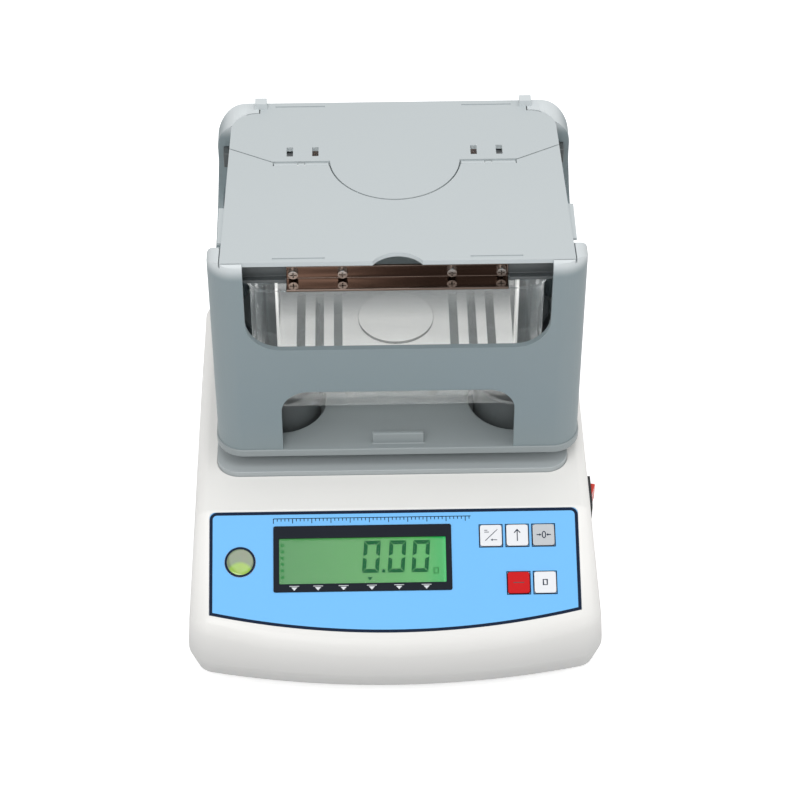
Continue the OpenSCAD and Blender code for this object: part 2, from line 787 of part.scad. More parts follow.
module switch_housing() {
    settle() color(black) difference() {
        union() {
            translate([switch_x, switch_y, switch_z]) rotate([0, 90, 0])
                plate(switch_h, switch_l, 1.4, 1.5);
            translate([switch_x - 14, switch_y, switch_z]) rotate([0, 90, 0])
                plate(switch_h - 2, switch_l - 2, 14 + eps, 0.5);
            for (y = [-5, 0, 5]) translate([switch_x - 21, switch_y + y - 0.4, switch_z - 2.4])
                cube([8, 0.8, 4.8]);
        }
        translate([switch_x - 8, switch_y, switch_z]) rotate([0, 90, 0])
            plate(rocker_h + 0.8, rocker_l + 2.6, 12, 0.5);
        translate([rocker_x, switch_y, switch_z - switch_h / 2])
            cylinder(r = rocker_pin + 0.05, h = switch_h);
    }
}

// rocker with its rear end out, turning on two short pins
module rocker() {
    half = rocker_l / 2;
    settle() color([0.82, 0.13, 0.10]) translate([rocker_x, switch_y, switch_z])
        rotate([0, 0, -rocker_tilt]) {
        translate([0, 0, -rocker_h / 2]) linear_extrude(rocker_h)
            polygon([[-3, -half + 2.4], [rocker_end - 2.6, -half], [rocker_end, -half],
                [rocker_end - 0.8, 0],
                [rocker_end, half], [rocker_end - 2.6, half], [-3, half - 2.4]]);
        translate([0, 0, -rocker_h / 2 - 0.9]) cylinder(r = rocker_pin, h = rocker_h + 1.8);
    }
}

module dc_jack() {
    settle() color(black) translate([jack_x, pocket_y, port_z]) rotate([-90, 0, 0]) {
        difference() {
            union() {
                translate([0, 0, -shell_wall - 0.5]) cylinder(r = 5.5, h = shell_wall + 2);
                translate([-5.5, -5.5, -shell_wall - 11]) cube([11, 11, 11]);
            }
            translate([0, 0, -8]) cylinder(r = 2.8, h = 14);
        }
        translate([0, 0, -9]) cylinder(r = 1, h = 9);
    }
}

module port_shell2d(grow) {
    w = 8.5 + grow;
    h = 4.2 + grow;
    polygon([[-w, h], [w, h], [w - 1.4, -h], [-w + 1.4, -h]]);
}

module serial_port() {
    settle() color([0.70, 0.71, 0.73]) translate([port_x, pocket_y, port_z]) rotate([90, 0, 180])
        difference() {
        union() {
            plate(31, 12.4, 1, 2);
            linear_extrude(5.4) port_shell2d(0);
            translate([0, 0, -10]) plate(19.4, 10.4, 10 + eps, 1.6);
        }
        translate([0, 0, 1]) linear_extrude(8) port_shell2d(-0.6);
        for (x = [-12.5, 12.5]) translate([x, 0, -1]) cylinder(r = screw_r + screw_gap, h = 4);
    }
}

module port_nuts() {
    settle() color(steel) translate([port_x, pocket_y, port_z]) rotate([90, 0, 180])
        for (x = [-12.5, 12.5]) translate([x, 0, 1]) difference() {
            cylinder(r = 2.9, h = 4.6, $fn = 6);
            translate([0, 0, 1.4]) cylinder(r = 1.3, h = 4);
        }
}

// ---- deck, pillars and tank, which stay still ----

module deck_plate() {
    settle() color(box_grey) difference() {
        translate([0, plate_mid, deck_h - plate_sink]) plate(plate_w, plate_d, plate_t, box_r - 2);
        translate([0, box_mid, deck_h - 5]) cylinder(r = hub_r + 3, h = 20);
        corners(plate_hole_x, plate_hole_y, box_mid) translate([0, 0, deck_h - 5])
            cylinder(r = screw_r + screw_gap, h = 14);
        translate([box_shift, 0, plate_top - 2]) corners(pillar_x / 2, pillar_y / 2, box_mid)
            cylinder(r = 6.05, h = 4);
    }
}

module deck_screws() {
    settle() color(steel) corners(plate_hole_x, plate_hole_y, box_mid)
        translate([0, 0, plate_top]) rotate([180, 0, 0]) screw(screw_r, 13);
}

module tank_pillars() {
    settle_box() color([0.25, 0.26, 0.27]) corners(pillar_x / 2, pillar_y / 2, box_mid) difference() {
        union() {
            translate([0, 0, plate_top]) cylinder(r = pillar_d / 2, h = tank_z - plate_top - 1);
            translate([0, 0, tank_z - 1 - eps])
                cylinder(r1 = pillar_d / 2, r2 = pillar_d / 2 - 1, h = 1 + eps);
            translate([0, 0, plate_top - 2]) cylinder(r = 6, h = 3);
        }
    }
}

module water_tank() {
    lip = 2;
    settle_box() color([0.80, 0.86, 0.88, 0.35]) translate([0, box_mid, tank_z]) difference() {
        union() {
            plate(tank_w - 2 * lip, tank_d - 2 * lip, tank_h, tank_r - lip);
            translate([0, 0, tank_h - 2.4]) plate(tank_w, tank_d, 2.4, tank_r);
        }
        translate([0, 0, 3])
            plate(tank_w - 2 * lip - 2 * tank_wall, tank_d - 2 * lip - 2 * tank_wall, tank_h,
            tank_r - lip - tank_wall);
    }
}

// ---- weighing box, which the load cell carries ----

module pillar_holes() {
    corners(pillar_x / 2, pillar_y / 2, box_mid) translate([0, 0, floor_z - 1])
        cylinder(r = pillar_d / 2 + pillar_gap, h = floor_t + 2);
}

module shell_places() {
    corners(shell_boss_x, shell_boss_y, box_mid) children();
}

module floor_plate() {
    tab_w = 27;
    tab_h = 7;
    settle_box() color(box_grey) difference() {
        union() {
            translate([0, box_mid, floor_z]) plate(box_w + 1.6, box_d + 1.6, floor_t, box_r + 0.8);
            translate([-tab_w / 2, box_y0 + box_wall + 0.3, shell_z - eps])
                cube([tab_w, 2.5, tab_h + eps]);
        }
        pillar_holes();
        shell_places() translate([0, 0, floor_z - 1]) {
            cylinder(r = screw_r + screw_gap, h = floor_t + 2);
            cylinder(r = head_r + 0.3, h = head_h + 1);
        }
        translate([-box_shift, box_mid, 0]) spider_places() translate([0, 0, floor_z - 1]) {
            cylinder(r = screw_r + screw_gap, h = floor_t + 2);
            translate([0, 0, floor_t + 1 - head_h]) cylinder(r = head_r + 0.3, h = head_h + 1);
        }
    }
}

module shell_screws() {
    settle_box() color(steel) shell_places() translate([0, 0, floor_z + head_h]) screw(screw_r, floor_t + 8);
}

// front view of the box with rounded top corners, run through from y0 for len,
// its sides leaning in above the side walls
module front_run(w, h, r, y0, len, lean) {
    upper = w / 2 - lean;
    translate([0, y0 + len, 0]) rotate([90, 0, 0]) linear_extrude(len) {
        polygon([[-w / 2, 0], [w / 2, 0], [w / 2, side_h], [upper, lean_top], [upper, h - r],
            [-upper, h - r], [-upper, lean_top], [-w / 2, side_h]]);
        translate([-upper + r, 0]) square([2 * upper - 2 * r, h]);
        for (x = [-1, 1]) translate([x * (upper - r), h - r]) circle(r);
    }
}

// outer form of the box, drawn in by inset on every side but the floor
module box_form(inset, top) {
    r = top_r - inset;
    intersection() {
        // side view with the upper front edge rounded
        translate([-box_w, 0, shell_z]) rotate([90, 0, 90]) linear_extrude(2 * box_w) {
            translate([box_y0 + inset, 0]) square([box_d, top - r]);
            translate([box_y0 + inset + r, 0]) square([box_d, top]);
            translate([box_y0 + inset + r, top - r]) circle(r);
        }
        translate([0, box_mid, shell_z])
            plate(box_w - 2 * inset, box_d - 2 * inset, box_h + 1, box_r - inset);
        translate([0, 0, shell_z]) union() {
            front_run(box_w - 2 * inset, top, front_r, box_y0 - 1, box_mid - box_y0 + 1, 0);
            front_run(box_w - 2 * inset, top, hood_r - inset, box_mid, box_d / 2 + 1, hood_lean);
        }
    }
}

// opening with round lower corners, seen from the front
module round_gap(w, z, h, r) {
    translate([-w / 2, z + r]) square([w, h - r]);
    translate([-w / 2 + r, z]) square([w - 2 * r, h]);
    for (x = [-1, 1]) translate([x * (w / 2 - r), z + r]) circle(r);
}

module lid_outline(grow) {
    half = lid_front_half + grow;
    side = lid_side_half + grow;
    r = 14;
    polygon(concat(
        [[-half, lid_front_y - grow / 2], [half, lid_front_y - grow / 2], [side, lid_side_y]],
        ring_pts(side - r, lid_rear_y + grow - r, r, 0, 90, 12),
        [[rear_tongue + grow, lid_rear_y + grow], [rear_tongue + grow, box_y1 + 2]],
        [[-rear_tongue - grow, box_y1 + 2], [-rear_tongue - grow, lid_rear_y + grow]],
        ring_pts(-side + r, lid_rear_y + grow - r, r, 90, 180, 12),
        [[-side, lid_side_y]]));
}

module box_shell() {
    settle_box() color(box_grey) {
        box_walls();
        mirrored_x() hood_clip();
    }
}

module box_walls() {
    roof = box_h - lid_t - lid_gap - ledge_t;
    open_l = box_d - hood_d - post_d;
    open_mid = box_mid + (post_d - hood_d) / 2;
    difference() {
        union() {
            difference() {
                box_form(0, box_h);
                translate([0, 0, -eps]) box_form(box_wall, roof);
            }
            shell_places() translate([0, 0, shell_z]) cylinder(r = 4.6, h = 14);
            // thicker rim round the mouth of the rear hood
            intersection() {
                box_form(0, box_h);
                difference() {
                    translate([0, 0, shell_z])
                        front_run(box_w, box_h, hood_r, box_y1 - hood_d, 3, hood_lean);
                    translate([0, 0, shell_z])
                        front_run(box_w - 11, roof - 2, hood_r - 5, box_y1 - hood_d - 1, 5, hood_lean);
                }
            }
        }
        // open sides and top between the posts and the hood
        translate([-box_w, open_mid, 0]) rotate([90, 0, 90]) linear_extrude(2 * box_w) {
            round_gap(open_l, shell_z + side_h, box_h, window_r);
            // rounding of the rear upper corner of the posts
            difference() {
                translate([-open_l / 2 - post_r, lid_top - post_r]) square([post_r + eps, post_r + 1]);
                translate([-open_l / 2 - post_r, lid_top - post_r]) circle(post_r);
            }
        }
        // front window
        translate([0, box_y0 + post_d + 1, 0]) rotate([90, 0, 0]) linear_extrude(post_d + 3)
            round_gap(front_w, shell_z + sill_h, box_h, window_r);
        // low front opening
        translate([0, box_y0 + box_wall + 2, 0]) rotate([90, 0, 0]) linear_extrude(box_wall + 4) {
            translate([-arch_w / 2, shell_z - 1]) square([arch_w, arch_h + 1 - arch_r]);
            translate([-arch_w / 2 + arch_r, shell_z - 1]) square([arch_w - 2 * arch_r, arch_h + 1]);
            for (x = [-1, 1]) translate([x * (arch_w / 2 - arch_r), shell_z + arch_h - arch_r])
                circle(arch_r);
        }
        // step in which the lids lie
        translate([0, 0, lid_z]) linear_extrude(lid_t + 1) lid_outline(0.6);
        translate([0, 0, lid_z - lid_gap]) linear_extrude(lid_t) intersection() {
            lid_outline(0.6);
            translate([-box_w, box_y0 - 5]) square([2 * box_w, post_d + 10]);
        }
        shell_places() translate([0, 0, shell_z - 1]) cylinder(r = screw_r + screw_gap, h = 12);
        // room for the rear brackets in the rim of the hood
        mirrored_x() translate([inner_w - hood_lean - 4, box_mid + tab_y - 0.4, bar_z - 0.4])
            cube([4, bar_t + web_t + rear_leg + 0.8, bar_h + 0.8]);
        mirrored_x() {
            translate([inner_w - 1, box_mid - bar_y - bracket_leg + bracket_screw_in, bar_z + bar_h / 2])
                rotate([0, 90, 0]) cylinder(r = 1 + screw_gap, h = 3);
            translate([inner_w - hood_lean - 1, box_mid + bar_y + rear_leg - bracket_screw_in,
                bar_z + bar_h / 2])
                rotate([0, 90, 0]) cylinder(r = 1 + screw_gap, h = 3);
        }
    }
}

// hook on the hood that holds down the rear lid
module hood_clip() {
    translate([rear_tongue + 0.7, box_y1 - 5.5, lid_top - 0.4]) cube([2, 5, 4]);
    translate([rear_tongue - 3.5, box_y1 - 5.5, lid_top]) cube([6.2, 5, 3.6]);
}

module lid_plate(y0, y1) {
    intersection() {
        translate([0, 0, lid_z]) linear_extrude(lid_t) lid_outline(0);
        translate([-box_w, y0, lid_z - 1]) cube([2 * box_w, y1 - y0, lid_t + 2]);
    }
}

// knuckles of one lid, in a list of stretches along the hinge
module knuckles(stretches, side) {
    for (s = stretches) {
        translate([s[0], hinge_y, axis_z]) rotate([0, 90, 0]) cylinder(r = knuckle_r, h = s[1] - s[0]);
        translate([s[0], side < 0 ? hinge_y - 3 : hinge_y, lid_z]) cube([s[1] - s[0], 3, web_h]);
    }
}

front_stretch = [[hinge_x0 + hinge_l * 0.43 + knuckle_gap, hinge_x0 + hinge_l * 0.57 - knuckle_gap]];
rear_stretch = [[hinge_x0, hinge_x0 + hinge_l * 0.43], [hinge_x0 + hinge_l * 0.57, hinge_x1]];

module pin_bores() {
    mirrored_x() translate([hinge_x0 - 0.3, hinge_y, axis_z]) rotate([0, 90, 0])
        cylinder(r = pin_d / 2 + pin_gap, h = hinge_l + 0.6);
}

// slanted wings of the seam, from the end of the hinge to the side of the lid
module wing2d(shift) {
    polygon([[hinge_x1 + 0.6, hinge_y + 1.5 - shift], [lid_front_half + 6, wing_y + 3 - shift],
        [lid_front_half + 6, box_y0 - 5], [hinge_x1 + 0.6, box_y0 - 5]]);
}

module grip_groove(y) {
    mirrored_x() translate([36, y, lid_top - 0.6]) cube([26, 1, 2]);
}

module front_lid() {
    settle_box() color(box_grey) difference() {
        union() {
            intersection() {
                lid_plate(lid_front_y, wing_y + 3);
                translate([0, 0, lid_z - 1]) linear_extrude(lid_t + 2) {
                    mirrored_x() wing2d(seam / 2);
                    translate([-hinge_x1 - 1, box_y0 - 5])
                        square([2 * hinge_x1 + 2, seam_y - box_y0 + 5]);
                }
            }
            mirrored_x() knuckles(front_stretch, -1);
            // low side flanges behind the posts
            mirrored_x() translate([lid_front_half - 3, box_y0 + post_d + 1, lid_z])
                cube([4.6, 27, lid_t - 1.2]);
        }
        translate([0, tongue_y, lid_z - 1]) cylinder(r = tongue_r + seam, h = lid_t + 2, $fn = 96);
        mirrored_x() for (s = rear_stretch) translate([s[0] - knuckle_gap, seam_y, lid_z - 2])
            cube([s[1] - s[0] + 2 * knuckle_gap, 8, lid_t + 4]);
        pin_bores();
        translate([0, lid_front_y + notch_d - notch_r, lid_z - 1]) cylinder(r = notch_r, h = lid_t + 2);
        grip_groove(box_y0 + 4.5);
    }
}

module rear_lid() {
    edge = hinge_y + knuckle_r + seam;
    settle_box() color(box_grey) difference() {
        union() {
            difference() {
                lid_plate(edge, box_y1 - 0.2);
                translate([0, 0, lid_z - 1]) linear_extrude(lid_t + 2) mirrored_x() wing2d(-seam / 2);
            }
            translate([0, tongue_y, lid_z]) cylinder(r = tongue_r, h = lid_t, $fn = 96);
            mirrored_x() knuckles(rear_stretch, 1);
        }
        mirrored_x() for (s = front_stretch) translate([s[0] - knuckle_gap, hinge_y - 4, lid_z - 2])
            cube([s[1] - s[0] + 2 * knuckle_gap, 4 + knuckle_r + seam, lid_t + 4]);
        pin_bores();
        for (x = [-54.1, -40.9, 40.9, 54.1]) translate([x - 1.65, hinge_y + 6.2, lid_z - 1])
            cube([3.3, 7.4, lid_t + 2]);
        grip_groove(box_y1 - 4);
    }
}

module hinge_pins() {
    settle_box() color(steel) mirrored_x() translate([hinge_x0 + 0.2, hinge_y, axis_z]) rotate([0, 90, 0])
        cylinder(r = pin_d / 2, h = hinge_l - 0.4);
}

// front hanger half, repeated at the back as its mirror image
module front_and_back() {
    translate([0, box_mid, 0]) {
        children();
        mirror([0, 1, 0]) children();
    }
}

module hanger_bars() {
    settle_box() color([0.85, 0.84, 0.82]) front_and_back() difference() {
        union() {
            translate([-bar_half, -bar_y, bar_z]) cube([2 * bar_half, bar_t, bar_h]);
            translate([-bar_half, -bar_y - bar_leg, bar_z]) cube([2 * bar_half, bar_leg + bar_t, bar_t]);
        }
        for (x = screw_xs, s = [-1, 1]) translate([s * x, -bar_y - 1, bar_z + bar_h / 2 + 0.6])
            rotate([-90, 0, 0])
            cylinder(r = screw_r + screw_gap, h = bar_t + 2);
    }
}

module hanger_brackets() {
    settle_box() color(black) translate([0, box_mid, 0]) {
        bracket_pair(inner_w, bracket_leg);
        mirror([0, 1, 0]) bracket_pair(inner_w - hood_lean, rear_leg);
    }
}

// front pair of brackets, each with a leg against the wall of the box
module bracket_pair(inner, leg) {
    mirrored_x() difference() {
        union() {
            translate([screw_xs[1] - 6, -bar_y + bar_t, bar_z])
                cube([inner - screw_xs[1] + 6, web_t, bar_h]);
            translate([inner - 3, -bar_y - leg, bar_z]) cube([3, bar_t + web_t + leg, bar_h]);
            translate([bar_half + 0.5, -bar_y - 2, bar_z])
                cube([inner - bar_half - 0.5, bar_t + web_t + 2, 2]);
        }
        translate([screw_xs[1], -bar_y, bar_z + bar_h / 2 + 0.6]) rotate([-90, 0, 0])
            cylinder(r = screw_r + screw_gap, h = 8);
        translate([inner - 4, -bar_y - leg + bracket_screw_in, bar_z + bar_h / 2]) rotate([0, 90, 0])
            cylinder(r = 1 + screw_gap, h = 6);
    }
}

module hanger_screws() {
    settle_box() color(steel) translate([0, box_mid, 0]) {
        hanger_screw_set(inner_w, bracket_leg);
        mirror([0, 1, 0]) hanger_screw_set(inner_w - hood_lean, rear_leg);
    }
}

module hanger_screw_set(inner, leg) {
    z = bar_z + bar_h / 2 + 0.6;
    mirrored_x() {
        translate([screw_xs[0], -bar_y, z]) rotate([-90, 0, 0]) screw(screw_r, bar_t + 4);
        translate([screw_xs[0], -bar_y + bar_t, z]) rotate([-90, 0, 0])
            cylinder(r = 2.9, h = 2.2, $fn = 6);
        translate([screw_xs[1], -bar_y, z]) rotate([-90, 0, 0])
            screw(screw_r, bar_t + web_t + sheet_t + 3);
        translate([screw_xs[1], -tab_y + sheet_t, z]) rotate([-90, 0, 0])
            cylinder(r = 2.9, h = 2.2, $fn = 6);
        translate([inner - 3, -bar_y - leg + bracket_screw_in, bar_z + bar_h / 2]) rotate([0, 90, 0])
            screw(1, 4.5);
    }
}

module basket() {
    half = basket_w / 2;
    top = bar_z + bar_h;
    settle_box() color([0.88, 0.88, 0.87]) translate([0, box_mid, 0]) difference() {
        union() {
            translate([-half, -tab_y, tray_z]) cube([basket_w, 2 * tab_y, sheet_t]);
            for (x = [-half, half - sheet_t], y = [-tab_y, tab_y - strip_l])
                translate([x, y, tray_z]) cube([sheet_t, strip_l, top - tray_z]);
            for (s = [-1, 1], t = [0, 1]) mirror([0, t, 0])
                translate([s > 0 ? screw_xs[1] - 5 : -half, -tab_y, bar_z])
                cube([half - screw_xs[1] + 5, sheet_t, bar_h]);
            translate([0, 0, tray_z]) cylinder(r = dish_d / 2, h = sheet_t + 1.8, $fn = 96);
        }
        translate([0, 0, tray_z - 1]) cylinder(r = dish_d / 2 - 1.4, h = 2.8, $fn = 96);
        for (s = [-1, 1], i = [0:2]) translate([s * (dish_d / 2 + 10.9 + i * slot_pitch), 0, tray_z - 1])
            plate(slot_w, slot_l, 3, 0.5);
        for (x = [-1, 1], t = [-1, 1]) translate([x * screw_xs[1], t * tab_y, bar_z + bar_h / 2 + 0.6])
            rotate([90, 0, 0])
            cylinder(r = screw_r + screw_gap, h = 6, center = true);
    }
}

module foot_pad_fl() { foot_pad(-foot_x, foot_ys[0]); }
module foot_pad_fr() { foot_pad(foot_x, foot_ys[0]); }
module foot_pad_rl() { foot_pad(-foot_x, foot_ys[1]); }
module foot_pad_rr() { foot_pad(foot_x, foot_ys[1]); }
module foot_screw_fl() { foot_screw(-foot_x, foot_ys[0]); }
module foot_screw_fr() { foot_screw(foot_x, foot_ys[0]); }
module foot_screw_rl() { foot_screw(-foot_x, foot_ys[1]); }
module foot_screw_rr() { foot_screw(foot_x, foot_ys[1]); }

bottom_tray();
top_cover();
case_screws();
foot_inserts();
chassis_plate();
chassis_screws();
load_cell();
cell_bolts();
overload_stop();
main_board();
main_board_screws();
deck_plate();
deck_screws();
tank_pillars();
water_tank();
front_panel();
display_bezel();
display_window();
lcd_glass();
lcd_backlight();
display_board();
display_board_screws();
key_switches();
ribbon_cable();
level_cup();
level_vial();
switch_housing();
rocker();
dc_jack();
serial_port();
port_nuts();
key_1();
key_2();
key_3();
key_4();
key_5();
foot_pad_fl();
foot_pad_fr();
foot_pad_rl();
foot_pad_rr();
foot_screw_fl();
foot_screw_fr();
foot_screw_rl();
foot_screw_rr();
pan_carrier();
carrier_bolts();
floor_screws();
floor_plate();
box_shell();
shell_screws();
rear_lid();
hinge_pins();
hanger_brackets();
hanger_bars();
hanger_screws();
basket();
front_lid();
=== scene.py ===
import bpy
import bmesh
import json
import math
from mathutils import Matrix, Vector


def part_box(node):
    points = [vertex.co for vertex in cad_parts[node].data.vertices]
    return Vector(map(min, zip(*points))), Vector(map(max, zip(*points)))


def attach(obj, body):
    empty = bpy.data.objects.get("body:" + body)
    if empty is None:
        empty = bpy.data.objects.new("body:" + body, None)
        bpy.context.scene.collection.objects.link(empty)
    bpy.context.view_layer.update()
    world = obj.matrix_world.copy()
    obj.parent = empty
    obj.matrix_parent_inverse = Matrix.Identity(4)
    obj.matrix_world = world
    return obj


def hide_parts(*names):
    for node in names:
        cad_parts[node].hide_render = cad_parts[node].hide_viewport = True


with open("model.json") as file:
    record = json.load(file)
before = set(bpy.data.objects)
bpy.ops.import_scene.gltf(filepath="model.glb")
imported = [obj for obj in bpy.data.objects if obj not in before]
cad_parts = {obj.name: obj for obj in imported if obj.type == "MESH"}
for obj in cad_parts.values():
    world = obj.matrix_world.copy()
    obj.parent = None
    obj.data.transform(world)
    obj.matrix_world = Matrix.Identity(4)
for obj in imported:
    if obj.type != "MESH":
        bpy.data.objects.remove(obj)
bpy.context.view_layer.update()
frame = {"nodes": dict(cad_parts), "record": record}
nodes = frame["nodes"]
record = frame["record"]
scene = bpy.context.scene
bodyOfNode = {n: b for b, names in record["behaviour"]["bodies"].items() for n in names}
slotOfNode = {row["node"]: row["material_slot"] for row in record["subparts"]}
print("frame loaded:", len(nodes), "nodes")

panelLow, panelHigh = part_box("front_panel")
middleX = (panelLow.x + panelHigh.x) / 2  # the part's own middle line
slope = {"degrees": 28, "topY": -0.050, "topZ": 0.074}  # the panel's slope, from its upper edge


def onSlope(x, s, h):  # x across, s down the slope, h out of it, in metres
    angle = math.radians(slope["degrees"])
    c, n = math.cos(angle), math.sin(angle)
    return Vector((middleX + x, slope["topY"] - s * c - h * n, slope["topZ"] - s * n + h * c))


slopeOut = onSlope(0, 0, 1) - onSlope(0, 0, 0)


def tone(r, g, b):  # screen colour, 0 to 255, as Blender's linear colour
    def linear(v):
        v /= 255
        return v / 12.92 if v <= 0.04045 else ((v + 0.055) / 1.055) ** 2.4
    return (linear(r), linear(g), linear(b), 1.0)


# camera
camera = {"focalPixels": 2560, "imageWidth": 800, "elevation": 43.88, "turn": 1.09, "roll": -0.09,
          "position": (-0.0142, -0.9738, 1.0414), "clipStart": 0.05}


def aimCamera():
    lens = bpy.data.cameras.new("camera")
    lens.lens = camera["focalPixels"] / camera["imageWidth"] * lens.sensor_width
    lens.clip_start = camera["clipStart"]
    eye = bpy.data.objects.new("camera", lens)
    scene.collection.objects.link(eye)
    e, a, r = (math.radians(camera[k]) for k in ("elevation", "turn", "roll"))
    forward = Vector((math.sin(a) * math.cos(e), math.cos(a) * math.cos(e), -math.sin(e)))
    right = Vector((math.cos(a), -math.sin(a), 0))
    up = right.cross(forward)
    across = right * math.cos(r) + up * math.sin(r)
    upright = -right * math.sin(r) + up * math.cos(r)
    turn = Matrix((across, upright, -forward)).transposed().to_4x4()
    x, y, z = camera["position"]
    eye.matrix_world = Matrix.Translation((x + middleX, y, z)) @ turn
    scene.camera = eye


aimCamera()
print("camera set")


# shader groups
def newGroup(name, inputs):  # inputs: each label with its first value, a number or a colour
    group = bpy.data.node_groups.new(name, "ShaderNodeTree")
    for label, value in inputs.items():
        kind = "NodeSocketFloat" if isinstance(value, float) else "NodeSocketColor"
        socket = group.interface.new_socket(name=label, in_out="INPUT", socket_type=kind)
        socket.default_value = value
    for label, kind in (("Color", "Color"), ("Roughness", "Float"), ("Height", "Float")):
        group.interface.new_socket(name=label, in_out="OUTPUT", socket_type="NodeSocket" + kind)
    return group, group.nodes.new("NodeGroupInput").outputs


def closeGroup(group, colour, roughness, height):
    out = group.nodes.new("NodeGroupOutput")
    for label, source in (("Color", colour), ("Roughness", roughness), ("Height", height)):
        group.links.new(source, out.inputs[label])
    return group


def addAxes(group):  # object coordinates, whole and split
    place = group.nodes.new("ShaderNodeTexCoord").outputs["Object"]
    split = group.nodes.new("ShaderNodeSeparateXYZ")
    group.links.new(place, split.inputs["Vector"])
    return place, split.outputs


def addNoise(group, source, scaleSocket, detail):
    noise = group.nodes.new("ShaderNodeTexNoise")
    noise.inputs["Detail"].default_value = detail
    group.links.new(source, noise.inputs["Vector"])
    group.links.new(scaleSocket, noise.inputs["Scale"])
    return noise.outputs["Fac"]


def addMix(group, factor, a, b):
    mix = group.nodes.new("ShaderNodeMix")
    mix.data_type = "RGBA"
    for label, source in (("Factor", factor), ("A", a), ("B", b)):
        group.links.new(source, mix.inputs[label])
    return mix.outputs["Result"]


def addRange(group, source, ends, smooth=False):  # ends: the sockets that set the range
    spread = group.nodes.new("ShaderNodeMapRange")
    if smooth:
        spread.interpolation_type = "SMOOTHSTEP"
    group.links.new(source, spread.inputs["Value"])
    for label, end in ends.items():
        group.links.new(end, spread.inputs[label])
    return spread.outputs["Result"]


def makeMouldedSkin():  # colour drift, gloss drift and fine grain of moulded plastic, and a painted shade below a given height
    group, given = newGroup("mouldedSkin", {
        "Tone": (0.8, 0.8, 0.8, 1), "Shade": (0.7, 0.7, 0.7, 1), "Shaded Low Tone": (0.7, 0.7, 0.7, 1),
        "Low From": -2.0, "Low To": -1.0, "Drift Scale": 14.0, "Grain Scale": 2600.0, "Smooth": 0.35,
        "Rough": 0.5})
    place, axes = addAxes(group)
    drift = addNoise(group, place, given["Drift Scale"], 3)
    grain = addNoise(group, place, given["Grain Scale"], 2)
    rise = addRange(group, axes["Z"], {"From Min": given["Low From"], "From Max": given["Low To"]}, True)
    mixed = addMix(group, drift, given["Tone"], given["Shade"])
    colour = addMix(group, rise, given["Shaded Low Tone"], mixed)
    gloss = addRange(group, grain, {"To Min": given["Smooth"], "To Max": given["Rough"]})
    return closeGroup(group, colour, gloss, grain)


def makeDrawnMetal():  # long fine streaks of rolled or turned metal, and a painted shade towards the back
    group, given = newGroup("drawnMetal", {
        "Tone": (0.7, 0.7, 0.7, 1), "Shade": (0.6, 0.6, 0.6, 1), "Shaded Far Tone": (0.6, 0.6, 0.6, 1),
        "Far From": 1.0, "Far To": 2.0, "Streak Scale": 60.0, "Smooth": 0.1, "Rough": 0.25})
    place, axes = addAxes(group)
    stretch = group.nodes.new("ShaderNodeMapping")
    stretch.inputs["Scale"].default_value = (1, 18, 30)
    group.links.new(place, stretch.inputs["Vector"])
    streak = addNoise(group, stretch.outputs["Vector"], given["Streak Scale"], 4)
    wave = addNoise(group, place, given["Streak Scale"], 1)
    depth = addRange(group, axes["Y"], {"From Min": given["Far From"], "From Max": given["Far To"]}, True)
    mixed = addMix(group, streak, given["Tone"], given["Shade"])
    colour = addMix(group, depth, mixed, given["Shaded Far Tone"])
    gloss = addRange(group, streak, {"To Min": given["Smooth"], "To Max": given["Rough"]})
    return closeGroup(group, colour, gloss, wave)


mouldedSkin = makeMouldedSkin()
drawnMetal = makeDrawnMetal()


# materials
def newMaterial(name):
    material = bpy.data.materials.new(name)
    material.use_nodes = True
    return material, material.node_tree, shaderOf(material)


def shaderOf(material):
    return material.node_tree.nodes["Principled BSDF"]


def giveGlow(material, colour, strength):
    shaderOf(material).inputs["Emission Color"].default_value = tone(*colour)
    shaderOf(material).inputs["Emission Strength"].default_value = strength


def finishMaterial(name, group, values, bump, plain):  # bump: strength and distance
    material, tree, shader = newMaterial(name)
    skin = tree.nodes.new("ShaderNodeGroup")
    skin.node_tree = group
    for key, value in values.items():
        skin.inputs[key].default_value = value
    tree.links.new(skin.outputs["Color"], shader.inputs["Base Color"])
    tree.links.new(skin.outputs["Roughness"], shader.inputs["Roughness"])
    relief = tree.nodes.new("ShaderNodeBump")
    relief.inputs["Strength"].default_value, relief.inputs["Distance"].default_value = bump
    tree.links.new(skin.outputs["Height"], relief.inputs["Height"])
    tree.links.new(relief.outputs["Normal"], shader.inputs["Normal"])
    for key, value in plain.items():
        shader.inputs[key].default_value = value
    material.diffuse_color = values["Tone"]
    return material


def toneAndShade(colour, shade):
    base = tone(*colour)
    return {"Tone": base, "Shade": tuple(v * shade for v in base[:3]) + (1,)}


def plastic(name, colour, shade=0.93, smooth=0.36, rough=0.5, grain=2600.0, bump=(0.25, 0.00004),
            low=None, **plain):
    values = {**toneAndShade(colour, shade), "Grain Scale": grain, "Smooth": smooth, "Rough": rough}
    if low:  # painted shade: a darker tone below a height: colour, from, to
        values.update({"Shaded Low Tone": tone(*low[0]), "Low From": low[1], "Low To": low[2]})
    return finishMaterial(name, mouldedSkin, values, bump, plain)


def metal(name, colour, shade=0.9, smooth=0.1, rough=0.22, streak=60.0, bump=(0.1, 0.0002),
          far=None, **plain):
    values = {**toneAndShade(colour, shade), "Streak Scale": streak, "Smooth": smooth, "Rough": rough}
    if far:  # painted shade: a darker tone towards the back: colour, from, to
        values.update({"Shaded Far Tone": tone(*far[0]), "Far From": far[1], "Far To": far[2]})
    return finishMaterial(name, drawnMetal, values, bump, {"Metallic": 1.0, **plain})


def paintedReflectionGlow(material):  # painted reflection and painted light: the metal glows in its own tone, standing in for the bright room it mirrors
    tree = material.node_tree
    tree.links.new(tree.nodes["Group"].outputs["Color"], shaderOf(material).inputs["Emission Color"])


